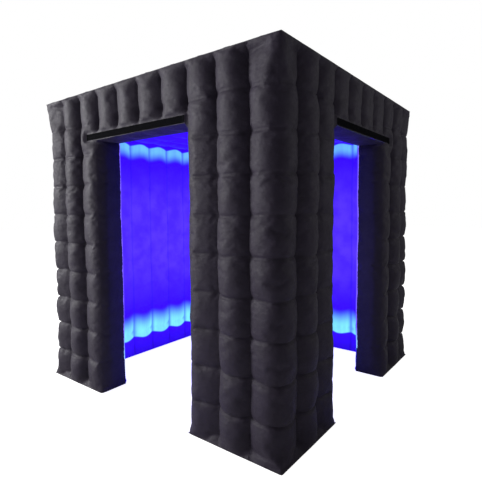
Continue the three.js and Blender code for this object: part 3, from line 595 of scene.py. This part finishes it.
def lining(grid, top=CEILING, bottom=0.0):
    """The lining across the wall from a flat strip: coarser, flatter and swelled into the room."""
    rows = slice(round(bottom / CELL * FINE), round(top / CELL * FINE) + 1, 2)
    coarse = grid[rows, ::2][:, ::-1].copy()
    z = coarse[..., 2]
    ends = np.clip(np.minimum(z - bottom, top - z) / LINING_ROUNDING, 0, 1)
    swell = np.maximum(-coarse[..., 1] - SEAM, 0) * LINING_SWELL * np.sqrt(1 - (1 - ends) ** 2)
    coarse[..., 1] = -ROOM + swell
    coarse[0, :, 2], coarse[-1, :, 2] = bottom, top
    return coarse


def roofed(grid, number):
    """A flat strip laid along Y as a column of the roof."""
    x = (grid[..., 0] + column_middle(number - 1)) * EDGE / HALF
    y = (grid[..., 2] * 2 / HEIGHT - 1) * EDGE
    z = HEIGHT - HALF - grid[..., 1]
    at_edge = 1 - smooth((EDGE - np.abs(x)) / END_ROUNDING)
    return np.stack([x, y, z + (TOP_EDGE - z) * at_edge], -1)


def ceilinged(grid):
    """A column's lining laid along Y in the ceiling, facing down."""
    x, depth, along = np.moveaxis(lining(grid, HEIGHT - CELL, CELL), -1, 0)
    return np.stack([x, along - HALF, CEILING - depth - ROOM], -1)


# --- Sewing: one piece of cloth for each fabric node of the frame ---


def steps_along(grid, axis):
    """The mean distance along an axis of the grid, in metres, at each of its lines."""
    step = np.linalg.norm(np.diff(grid, axis=axis), axis=2).mean(axis=1 - axis)
    return np.concatenate([[0], np.cumsum(step)])


def pairs(across, up):
    """Both coordinates of every point of a grid, from those of its columns and of its rows."""
    return np.stack(np.meshgrid(across, up), -1).reshape(-1, 2)


def cloth_piece(name, node, slot, points, faces, layers):
    """A piece of cloth in the place of a node of the frame."""
    mesh = bpy.data.meshes.new(name)
    mesh.from_pydata(points.tolist(), [], faces)
    for layer, values in layers.items():
        mesh.uv_layers.new(name=layer).data.foreach_set("uv", values.astype(np.float32).ravel())
    mesh.shade_smooth()
    mesh.materials.append(FINISHES[slot])
    piece = linked(name, mesh)
    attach(piece, "booth")
    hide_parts(node)


def sewn(node, kind, slot, patches, holes=()):
    """A piece of cloth sewn from patches, each a grid and whether its left and right ends are seams, and cut
    away in the back wall's holes. One UV layer runs over the cloth in metres, and the other holds how far the
    nearest seam is."""
    points, faces, cloth, seams = [], [], [], []
    count = 0
    for grid, (left, right) in patches:
        across, up = steps_along(grid, 1), steps_along(grid, 0)
        none = np.full(len(across), NO_SEAM)
        near = np.minimum(across if left else none, across[-1] - across if right else none)
        quads = grid_faces(numbered(grid))
        for rectangle, border in holes:
            outside = (beyond(grid, rectangle) > border).ravel()
            quads = quads[outside[quads].all(axis=1)]
        points.append(grid.reshape(-1, 3))
        faces.append(quads + count)
        count += len(points[-1])
        cloth.append(pairs(across, up)[quads.ravel()])
        seams.append(pairs(near, up)[quads.ravel()])
    layers = {"cloth": np.concatenate(cloth), "seam": np.concatenate(seams)}
    faces = np.concatenate(faces).tolist()
    cloth_piece(f"{node}_{kind}", node, slot, np.concatenate(points), faces, layers)


def skin(node, patches, holes=()):
    sewn(node, "skin", "black_oxford", patches, holes)


def section_length(section):
    """The width that a strip is cut to: its girth halfway between two rows."""
    points = section(HEIGHT / 2 + CELL / 2, np.linspace(0, 1, 50))
    return float(np.linalg.norm(np.diff(points, axis=0), axis=1).sum())


FLAT_CUT = section_length(flat_section)
CORNER_CUT = section_length(corner_section)
EDGE_CUT = section_length(edge_section) / 2


def wall_rectangle(node, turns):
    """A node's extent in the x and z of its wall's own frame."""
    corners = np.array([turned(np.array(corner), -turns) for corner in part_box(node)])
    low, high = corners.min(0), corners.max(0)
    return (low[0], low[2]), (high[0], high[2])


def walled(grid, turns, flat_places=()):
    """A strip in its place in a wall's own frame, finished and turned to where the wall stands."""
    grid = turned(drifted(turned(hemmed(grid), turns)), -turns)
    for rectangle, border, fade in flat_places:
        grid = flattened(grid, rectangle, border, fade)
    return turned(grid, turns)


def skin_corner(node, library, turns):
    grid = library["corner"][turns % 2]
    if turns >= 2:
        grid = diagonal_mirror(grid)
    skin(node, [(walled(grid, turns), BOTH)])


def wall_columns(library, kind, numbers, turns, flat_places=()):
    """The patches of a run of a wall's columns. Each wall starts at another of the kind's strips."""
    grids = [column(library, kind, number, number + STARTS[turns]) for number in numbers]
    return [(walled(grid, turns, flat_places), BOTH) for grid in grids]


def pulled_along(jamb, step, side):
    """A jamb whose outer edge takes the same step as the panel sewn to it, on its left side or its right."""
    share = np.linspace(0, 1, FINE + 1)[None, :, None] ** 2
    if side > 0:
        return jamb + step[: len(jamb), :1] * share
    return jamb + step[: len(jamb), -1:] * share[:, ::-1]


def door_strip(library, kind, turns, side):
    """The strip at the edge of a wall's doorway, drawn for the right edge."""
    return shifted(library[kind][(turns + (side > 0)) % len(library[kind])], JAMB)


def skin_door_wall(name, library, turns, low, high):
    """The skins, jambs and soffit of a wall with a doorway."""
    tape = (wall_rectangle(f"{name}_hook_strip", turns), *TAPE_FLAT)
    for label, side, outer in ((low, -1, 0), (high, 1, WALL_COLUMNS - 1)):
        flat = column(library, "flat", outer, outer + 3 * turns)
        face, jamb = [door_strip(library, kind, turns, side) for kind in ("edge", "jamb")]
        sides = (False, True)
        if side < 0:
            face, jamb, sides = mirrored(face), mirrored(jamb), (True, False)
        face_in_place = walled(face, turns, [tape])
        step = face_in_place - walled(face, turns)
        patches = [(walled(flat, turns, [tape]), BOTH), (face_in_place, sides)]
        skin(f"{name}_panel_{label}", patches)
        jamb_in_place = pulled_along(walled(jamb, turns), step, side)
        skin(f"{name}_jamb_{label}", [(jamb_in_place, sides[::-1])])
    patches = wall_columns(library, "lintel", DOOR_COLUMNS, turns, [tape])
    skin(f"{name}_lintel_panel", patches)
    skin(f"{name}_soffit", wall_columns(library, "soffit", DOOR_COLUMNS, turns))


def skin_back_wall(library):
    """The back wall, flat under what is fixed on it, and cut out behind its grille and service panel."""
    (x0, z0), (x1, z1) = wall_rectangle("intake_grille", BACK)
    x, z = (x0 + x1) / 2, (z0 + z1) / 2
    flange = (x1 - x0) / 2
    flat_places = [(((x, z), (x, z)), flange + GRILLE_FLAT[0], GRILLE_FLAT[1])]
    for node, (border, fade) in BACK_FLATS.items():
        flat_places.append((wall_rectangle(node, BACK), border, fade))
    low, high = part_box("service_panel")
    holes = [(((-x, z), (-x, z)), GRILLE_HOLE * flange), (((low.x, low.z), (high.x, high.z)), PANEL_HOLE)]
    patches = wall_columns(library, "flat", range(WALL_COLUMNS), BACK, flat_places)
    skin("back_wall_panel", patches, holes)


def skin_roof(library):
    grids = [roofed(varied(library, "flat", number + 2), number) for number in range(ROWS)]
    skin("roof_panel", [(drifted(grid), BOTH) for grid in grids])


def door_hem(library, turns, side):
    """The lining's hem, turned round a door's edge onto the jamb."""
    first = round(HEM_BOTTOM / CELL * FINE)
    grid = shifted(door_strip(library, "jamb", turns, side)[first:, : HEM_STEPS + 1], -HEM_LIFT)
    return walled(grid if side > 0 else mirrored(grid), turns), NEITHER


def line_wall(node, library, turns, columns, bottom=0.0, hem=0):
    """The lining of a run of a wall's columns, with a hem if it ends at a doorway."""
    patches = [door_hem(library, turns, hem)] if hem else []
    for number in columns:
        grid = lining(column(library, "flat", number, number + 2 * turns), bottom=bottom)
        patches.append((drifted(turned(grid, turns)), BOTH))
    sewn(node, "cloth", "white_oxford", patches)


def line_ceiling(library):
    grids = [ceilinged(column(library, "flat", number, number + 3)) for number in range(WALL_COLUMNS)]
    patches = [(drifted(grid), BOTH) for grid in grids]
    sewn("ceiling_panel", "cloth", "white_oxford", patches)


def quarter_steps(from_x, to_x):
    """Places along a wall, a quarter of a column apart."""
    return np.linspace(from_x, to_x, round((to_x - from_x) / CELL * 4) + 1)


def base_strip(node, turns, from_x, to_x):
    """The strip that closes a wall's bottom, from the lining's hem to the skin's."""
    x, y = np.meshgrid(quarter_steps(from_x, to_x), np.linspace(-EDGE, -ROOM, 5))
    grid = turned(np.stack([x, y, np.full_like(x, BASE_LIFT)], -1), turns)
    sewn(node, "cloth", "black_oxford", [(grid, NEITHER)])


def sew_skins(library):
    for node, turns in (("near", FRONT), ("back_right", SIDE), ("back_left", BACK), ("front_left", LEFT)):
        skin_corner(f"corner_column_{node}", library, turns)
    skin_door_wall("front", library, FRONT, "left", "right")
    skin_door_wall("side", library, SIDE, "near", "far")
    skin("left_wall_panel", wall_columns(library, "flat", range(WALL_COLUMNS), LEFT))
    skin_back_wall(library)
    skin_roof(library)


def sew_linings(library):
    for name, turns, low, high in (("front", FRONT, "left", "right"), ("side", SIDE, "near", "far")):
        line_wall(f"lining_{name}_{low}", library, turns, range(DOOR_COLUMNS.start), hem=-1)
        line_wall(f"lining_{name}_{high}", library, turns, range(DOOR_COLUMNS.stop, WALL_COLUMNS), hem=1)
        line_wall(f"lining_{name}_lintel", library, turns, DOOR_COLUMNS, DOOR_TOP)
    line_wall("lining_left_wall", library, LEFT, range(WALL_COLUMNS))
    line_wall("lining_back_wall", library, BACK, range(WALL_COLUMNS))
    line_ceiling(library)


def seam_line(library, low, high):
    """The points of a flat strip's seam between two heights."""
    rows = (HEIGHTS >= low - 1e-6) & (HEIGHTS <= high + 1e-6)
    return shifted(library["flat"][0][rows, 0], CELL / 2)


def between(outer, inner):
    """The grid of a web from its outer edge to its inner one."""
    share = np.linspace(0, 1, WEB_STEPS + 1)[None, :, None]
    return outer[:, None] * (1 - share) + inner[:, None] * share


def web(library, number, turns, low, high, clearance=0.0):
    """A baffle from the skin's seam of that number to the lining's, or short of it by a clearance."""
    outer = shifted(seam_line(library, low, high), number * CELL - ROOM)
    inner = outer.copy()
    inner[:, 1] = -ROOM - clearance
    return drifted(turned(between(outer, inner), turns))


def roof_web(library, number, reach):
    """A baffle from the roof's seam of that number down to the ceiling's."""
    seam = shifted(seam_line(library, HEIGHT / 2 - reach, HEIGHT / 2 + reach), CELL / 2)
    outer = roofed(seam[:, None], number)[:, 0]
    inner = outer * (1, 1, 0) + (0, 0, CEILING + SKIN_GAP)
    return drifted(between(outer, inner))


def tie(turns, from_x, to_x, z):
    """The tape that holds a run of webs upright, through the middle of the wall."""
    x, z = np.meshgrid(quarter_steps(from_x, to_x), (z, z + TIE_HEIGHT))
    return drifted(turned(np.stack([x, np.full_like(x, -(SEAM + ROOM) / 2), z], -1), turns))


def hang_baffles(library):
    """Every baffle node of the frame, as webs whose outer edges are sewn to the skins' seams."""
    low, high = (corner.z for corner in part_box("baffles_left_wall"))
    lintel_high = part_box("baffles_near_pillar")[1].z
    whole, first, last = range(WALL_COLUMNS + 1), range(2), range(WALL_COLUMNS - 1, WALL_COLUMNS + 1)
    runs = {
        "baffles_near_pillar": ((FRONT, last), (SIDE, first)),
        "baffles_left_wall": ((LEFT, whole), (FRONT, first)),
        "baffles_back_wall": ((BACK, whole), (SIDE, last)),
    }
    for node, walls in runs.items():
        webs, ties = [], []
        for turns, numbers in walls:
            webs += [web(library, number, turns, low, high) for number in numbers]
            ties.append(tie(turns, numbers[0] * CELL - ROOM, numbers[-1] * CELL - ROOM, (low + high) / 2))
        if node == "baffles_near_pillar":
            for turns, start in ((FRONT, -CELL), (SIDE, -3 * CELL)):
                for number in DOOR_COLUMNS[1:]:
                    webs.append(web(library, number, turns, DOOR_TOP, lintel_high, LIGHT_CLEARANCE))
                ties.append(tie(turns, start, start + len(DOOR_COLUMNS) * CELL, lintel_high - TIE_HEIGHT))
        sew_baffles(node, webs, ties)
    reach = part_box("baffles_roof")[1].y
    sew_baffles("baffles_roof", [roof_web(library, number, reach) for number in range(1, WALL_COLUMNS)], [])


def sew_baffles(node, webs, ties):
    patches = [(grid, NEITHER) for grid in webs + ties]
    sewn(node, "cloth", "baffle_cloth", patches)


def sew_base_strips():
    for name, turns, from_x, to_x in (
        ("front_left", FRONT, -ROOM, -JAMB),
        ("front_right", FRONT, JAMB, EDGE),
        ("side_near", SIDE, -ROOM, -JAMB),
        ("side_far", SIDE, JAMB, ROOM),
        ("back", BACK, -EDGE, ROOM),
        ("left", LEFT, -EDGE, EDGE),
    ):
        base_strip(f"base_strip_{name}", turns, from_x, to_x)


# --- Hook-and-loop tape over the doorways ---


def squared(wave):
    """A sine or cosine, pushed towards the outline of a rectangle."""
    return np.sign(wave) * np.abs(wave) ** TAPE_SQUARENESS


def hook_strip(node, turns):
    """A tape with rounded edges that lies on the flattened skin."""
    (x0, z0), (x1, z1) = wall_rectangle(node, turns)
    x = np.linspace(x0, x1, round((x1 - x0) / TAPE_STEP) + 1)
    around = np.linspace(0, 2 * np.pi, TAPE_AROUND, endpoint=False)
    z = (z0 + z1) / 2 + (z1 - z0) / 2 * squared(np.sin(around))
    y = -SKIN_PLANE - TAPE_THICK / 2 + TAPE_THICK / 2 * squared(np.cos(around))
    grid = np.zeros((len(x), TAPE_AROUND, 3))
    grid[:, :, 0] = x[:, None]
    grid[:, :, 1], grid[:, :, 2] = y, z
    ring = numbered(grid)
    quads = grid_faces(np.concatenate([ring, ring[:, :1]], axis=1))
    faces = quads.tolist() + [ring[0].tolist(), ring[-1][::-1].tolist()]
    layers = {"cloth": pairs(z - z0, x)[[corner for face in faces for corner in face]]}
    points = turned(grid, turns).reshape(-1, 3)
    cloth_piece(f"{node}_tape", node, "hook_tape", points, faces, layers)


# --- Materials ---


class Recipe:
    """The node tree of a material or a world, with short ways to add and link nodes."""

    def __init__(self, name, kind="materials", shader="Principled BSDF"):
        self.owner = getattr(bpy.data, kind).new(name)
        self.owner.use_nodes = True
        self.tree = self.owner.node_tree
        self.shader = self.tree.nodes[shader]

    def node(self, kind, settings=None, **inputs):
        made = self.tree.nodes.new(f"ShaderNode{kind}")
        for name, value in (settings or {}).items():
            setattr(made, name, value)
        for name, value in inputs.items():
            self.give(made, name.replace("_", " "), value)
        return made

    def give(self, node, name, value):
        socket = node.inputs[name]
        if isinstance(value, bpy.types.NodeSocket):
            self.tree.links.new(value, socket)
        else:
            socket.default_value = value

    def math(self, operation, first, second=0.0, third=0.0):
        made = self.node("Math", {"operation": operation})
        for index, value in enumerate((first, second, third)):
            self.give(made, index, value)
        return made.outputs[0]

    def times(self, first, second):
        return self.math("MULTIPLY", first, second)

    def mix(self, share, first, second):
        made = self.node("Mix", {"data_type": "RGBA"}, Factor=share)
        self.give(made, 6, first)
        self.give(made, 7, second)
        return made.outputs[2]

    def noise(self, vector, scale, detail=3.0):
        return self.node("TexNoise", Vector=vector, Scale=scale, Detail=detail).outputs["Fac"]

    def uv(self, layer):
        return self.node("UVMap", {"uv_map": layer}).outputs[0]

    def parts(self, vector):
        return self.node("SeparateXYZ", Vector=vector).outputs

    def places(self):
        return self.node("TexCoord").outputs["Object"]

    def stretched(self, vector, scale):
        return self.node("Mapping", Vector=vector, Scale=scale).outputs[0]

    def range(self, value, low, high, to_low, to_high):
        made = self.node("MapRange", {"interpolation_type": "SMOOTHSTEP"}, Value=value)
        for index, limit in enumerate((low, high, to_low, to_high), 1):
            self.give(made, index, limit)
        return made.outputs[0]

    def colours(self, value, *stops):
        made = self.node("ValToRGB", Fac=value)
        ramp = made.color_ramp
        while len(ramp.elements) < len(stops):
            ramp.elements.new(0.5)
        for element, (position, colour) in zip(ramp.elements, stops):
            element.position = position
            element.color = (*colour, 1)
        return made.outputs[0]

    def bump(self, height, distance, strength=1.0, below=None):
        made = self.node("Bump", Height=height, Distance=distance, Strength=strength)
        if below is not None:
            self.give(made, "Normal", below)
        return made.outputs[0]

    def finish(self, **inputs):
        for name, value in inputs.items():
            self.give(self.shader, name.replace("_", " "), value)
        return self.owner


def weave(mat):
    """The height of a plain weave over the cloth."""
    ways = mat.parts(mat.uv("cloth"))[:2]
    return mat.times(*(mat.math("SINE", mat.times(way, 2 * math.pi / CLOTH_PITCH)) for way in ways))


def stitches(mat):
    """1 on the stitches of the seam, a few millimetres from it, and 0 elsewhere."""
    off_seam, along, _ = mat.parts(mat.uv("seam"))
    off_line = mat.math("ABSOLUTE", mat.math("SUBTRACT", off_seam, STITCH_INSET))
    on_line = mat.math("LESS_THAN", off_line, STITCH_WIDTH / 2)
    in_stitch = mat.math("FRACT", mat.math("DIVIDE", along, STITCH_PITCH))
    return mat.times(on_line, mat.math("LESS_THAN", in_stitch, STITCH_SHARE))


def puckers(mat):
    """Small gathers along the seams, which die out a few centimetres from them."""
    seam = mat.uv("seam")
    near = mat.range(mat.parts(seam)[0], 0.0, PUCKER_REACH, 1.0, 0.0)
    return mat.times(mat.noise(mat.stretched(seam, (6, 55, 1)), 1.0, 2.0), near)


def black_cloth():
    """Coated black Oxford cloth: a fine weave, soft gloss, small wrinkles and stitches beside each seam."""
    mat = Recipe("black_oxford_cloth")
    places = mat.places()
    fine = mat.noise(places, 60.0)
    patchy = mat.noise(places, 9.0, 4.0)
    coating = mat.colours(patchy, (0.3, (0.021, 0.0155, 0.029)), (0.7, (0.029, 0.022, 0.040)))
    thread = stitches(mat)
    wrinkles = mat.bump(mat.noise(mat.stretched(places, (1, 1, 1.6)), 16.0), 0.006, 0.8)
    gathers = mat.bump(puckers(mat), 0.005, 0.9, wrinkles)
    small = mat.bump(fine, 0.0012, 0.6, gathers)
    sewing = mat.bump(thread, 0.0008, 1.0, small)
    return mat.finish(
        Base_Color=mat.mix(thread, coating, THREAD),
        Roughness=mat.range(fine, 0.2, 0.8, 0.50, 0.66),
        Specular_IOR_Level=0.22,
        Sheen_Weight=0.03,
        Sheen_Roughness=0.5,
        Normal=mat.bump(weave(mat), 0.0002, 0.5, sewing),
    )


def white_cloth():
    """White Oxford cloth lit from behind by the blue light tapes, that light painted on it as emission: a
    band over the floor tape and one under the ceiling tape, whose edges curve with each column's swelling, a
    painted lilac highlight on the doors' hems, and painted shade towards the floor and the seams. Its base
    colour is a painted dark blue shade in place of the cloth's white."""
    mat = Recipe("white_oxford_cloth")
    places = mat.places()
    height = mat.parts(places)[2]
    seam = mat.parts(mat.uv("seam"))[0]
    swell = mat.range(seam, 0.0, CELL / 2, 0.0, GLOW_SCALLOP)
    over_low = mat.math("ADD", mat.math("SUBTRACT", height, FLOOR_GLOW), swell)
    under_high = mat.math("ADD", mat.math("SUBTRACT", CEILING_GLOW, height), swell)
    bands = []
    for past_edge, (reach, most) in ((over_low, FLOOR_BAND), (under_high, CEILING_BAND)):
        start = mat.range(past_edge, 0.0, 0.015, 0, most)
        bands.append(mat.times(start, mat.range(past_edge, 0.3 * reach, reach, 1, 0)))
    # Painted shade: the lining's glow dims towards each seam, and a streaky noise varies its strength.
    dull = mat.range(seam, 0.0, 0.04, 0.55, 1.0)
    streaky_glow = mat.noise(mat.stretched(places, (16, 16, 1.5)), 1.0, 2.0)
    band = mat.times(mat.times(mat.math("MAXIMUM", *bands), dull), mat.range(streaky_glow, 0.3, 0.7, 0.8, 1))
    # A paler painted glow at mid-height, between the bands.
    middle = mat.times(mat.range(height, 0.4, 1.0, 0, 1), mat.range(height, 1.5, 2.1, 1, 0))
    pale = mat.times(middle, mat.range(mat.noise(places, 7.0), 0.3, 0.7, 0.5, 1.0))
    blue = mat.colours(pale, (0.0, (0.035, 0.0, 0.95)), (1.0, (0.095, 0.035, 1.0)))
    # A painted lilac highlight on the doors' hems, which have no seam.
    hem = mat.times(mat.math("GREATER_THAN", seam, NO_SEAM / 2), 0.35)
    # Painted shade: the glow is weaker towards the floor and at the seams.
    shade = mat.times(mat.range(height, 0.0, FLOOR_GLOW, 0.6, 1), mat.range(seam, 0.0, 0.02, 0.72, 1))
    wrinkles = mat.bump(mat.noise(places, 14.0), 0.006, 0.7)
    return mat.finish(
        # The base colour is a painted dark blue shade, not the cloth's own white.
        Base_Color=(0.05, 0.03, 0.25, 1),
        Roughness=0.7,
        Specular_IOR_Level=0.2,
        Emission_Color=mat.mix(hem, mat.mix(band, blue, CYAN_BAND_GLOW), LILAC_HEM_HIGHLIGHT),
        Emission_Strength=shade,
        Normal=mat.bump(weave(mat), 0.0002, 0.5, wrinkles),
    )


def hook_tape():
    """Rows of small hooks between two plain woven edges."""
    mat = Recipe("hook_tape_nylon")
    tape = mat.uv("cloth")
    hooks = mat.node("TexVoronoi", Vector=tape, Scale=700.0).outputs["Distance"]
    ribs = mat.math("SINE", mat.times(mat.parts(tape)[0], 2 * math.pi / RIB_PITCH))
    tint = mat.noise(tape, 90.0, 2.0)
    return mat.finish(
        Base_Color=mat.colours(tint, (0.3, (0.002, 0.002, 0.003)), (0.7, (0.005, 0.005, 0.007))),
        Roughness=0.95,
        Specular_IOR_Level=0.04,
        Normal=mat.bump(ribs, 0.0003, 0.6, mat.bump(hooks, 0.0012)),
    )


def baffle_cloth():
    mat = Recipe("baffle_ripstop")
    places = mat.places()
    grid = mat.node("TexBrick", Vector=places, Scale=120.0).outputs["Fac"]
    colour = mat.colours(mat.noise(places, 12.0), (0.3, (0.50, 0.50, 0.53)), (0.7, (0.62, 0.62, 0.66)))
    return mat.finish(Base_Color=colour, Roughness=0.75, Normal=mat.bump(grid, 0.0004, 0.6))


def light_tape():
    """Clear tape with a row of lights, blue between them and nearly white on them."""
    mat = Recipe("light_tape_resin")
    lights = mat.node("TexVoronoi", Vector=mat.places(), Scale=60.0).outputs["Distance"]
    colour = mat.colours(lights, (0.15, (0.55, 0.8, 1.0)), (0.5, (0.05, 0.05, 1.0)))
    return mat.finish(
        Base_Color=(0.6, 0.65, 0.8, 1), Roughness=0.3, Emission_Color=colour, Emission_Strength=2.0
    )


def moulded_plastic(name, dark, light):
    """Moulded plastic with a fine spark-eroded grain and slightly polished patches."""
    mat = Recipe(name)
    places = mat.places()
    grain = mat.noise(places, 900.0, 2.0)
    patchy = mat.noise(places, 25.0)
    return mat.finish(
        Base_Color=mat.colours(patchy, (0.3, dark), (0.7, light)),
        Roughness=mat.range(patchy, 0.3, 0.7, 0.38, 0.52),
        Specular_IOR_Level=0.5,
        Normal=mat.bump(grain, 0.0003, 0.5),
    )


def bright_metal():
    """Nickel-plated steel with fine brush lines and dull finger marks."""
    mat = Recipe("bright_metal_plate")
    places = mat.places()
    lines = mat.noise(mat.stretched(places, (900, 900, 60)), 1.0, 2.0)
    marks = mat.noise(places, 40.0)
    return mat.finish(
        Base_Color=mat.colours(marks, (0.3, (0.52, 0.52, 0.53)), (0.7, (0.64, 0.64, 0.65))),
        Metallic=1.0,
        Roughness=mat.range(marks, 0.3, 0.7, 0.24, 0.40),
        Normal=mat.bump(lines, 0.0002, 0.4),
    )


def cable_sheath():
    mat = Recipe("cable_sheath_rubber")
    places = mat.places()
    dust = mat.noise(places, 120.0)
    return mat.finish(
        Base_Color=mat.colours(dust, (0.3, (0.010, 0.010, 0.011)), (0.7, (0.020, 0.020, 0.022))),
        Roughness=mat.range(dust, 0.3, 0.7, 0.45, 0.6),
        Normal=mat.bump(dust, 0.0003, 0.4),
    )


def finish_frame_nodes():
    """Gives every node of the frame that stays its procedural material."""
    for row in frame["record"]["subparts"]:
        materials = frame["nodes"][row["node"]].data.materials
        materials.clear()
        materials.append(FINISHES[row["material_slot"]])


# --- The studio ---


def make_camera():
    camera = linked("camera", bpy.data.cameras.new("camera"))
    camera.location = CAMERA_PLACE
    camera.rotation_euler = [math.radians(angle) for angle in CAMERA_TURN]
    camera.data.lens = CAMERA_LENS
    camera.data.shift_x, camera.data.shift_y = CAMERA_SHIFT
    bpy.context.scene.camera = camera


def for_the_camera(mat, seen, cast):
    """A strength that is one value where the camera sees the surface, and another as light on others."""
    straight = mat.node("LightPath").outputs["Is Camera Ray"]
    return mat.math("MULTIPLY_ADD", straight, seen - cast, cast)


def make_floor():
    """A pale floor that looks white to the camera, so that the booth's blue light doesn't colour it."""
    mesh = bpy.data.meshes.new("floor")
    corners = [(x * FLOOR_REACH, y * FLOOR_REACH, 0) for x, y in ((-1, -1), (1, -1), (1, 1), (-1, 1))]
    mesh.from_pydata(corners, [], [(0, 1, 2, 3)])
    mat = Recipe("floor_paper")
    paper = mat.finish(
        Base_Color=(0.8, 0.8, 0.8, 1),
        Roughness=0.9,
        Specular_IOR_Level=0.0,
        Emission_Color=(1, 1, 1, 1),
        Emission_Strength=for_the_camera(mat, FLOOR_SEEN, 0.0),
    )
    mesh.materials.append(paper)
    linked("floor", mesh)


def soft_box(name, place, size, power):
    """A square lamp that faces the middle of the booth."""
    light = bpy.data.lights.new(name, "AREA")
    light.energy = power
    light.size = size
    box = linked(name, light)
    box.location = place
    box.rotation_mode = "QUATERNION"
    box.rotation_quaternion = (Vector((0, 0, HEIGHT / 2)) - Vector(place)).to_track_quat("-Z", "Y")


def make_lights():
    """Soft lights from the left, behind and above, the booth's own blue glow and a dim white room."""
    for name, settings in SOFT_BOXES.items():
        soft_box(name, *settings)
    glow = bpy.data.lights.new("glow", "POINT")
    glow.energy = GLOW_POWER
    glow.color = GLOW_COLOUR
    glow.shadow_soft_size = GLOW_SIZE
    linked("glow", glow).location = GLOW_PLACE
    room = Recipe("studio", "worlds", "Background")
    strength = for_the_camera(room, 1.0, ROOM_LIGHT)
    bpy.context.scene.world = room.finish(Color=(1, 1, 1, 1), Strength=strength)
    bpy.context.scene.view_settings.view_transform = "Standard"


# --- The whole booth ---

FINISHES = {
    "black_oxford": black_cloth(),
    "white_oxford": white_cloth(),
    "hook_tape": hook_tape(),
    "baffle_cloth": baffle_cloth(),
    "light_tape": light_tape(),
    "black_plastic": moulded_plastic("black_plastic_moulding", (0.008, 0.008, 0.009), (0.014, 0.014, 0.015)),
    "grey_plastic": moulded_plastic("grey_plastic_moulding", (0.085, 0.088, 0.095), (0.11, 0.114, 0.122)),
    "bright_metal": bright_metal(),
    "cable_sheath": cable_sheath(),
}

make_camera()
make_floor()
make_lights()
finish_frame_nodes()
strips = strip_library()
simulate(strips)
sew_skins(strips)
sew_linings(strips)
sew_base_strips()
hang_baffles(strips)
hook_strip("front_hook_strip", FRONT)
hook_strip("side_hook_strip", SIDE)
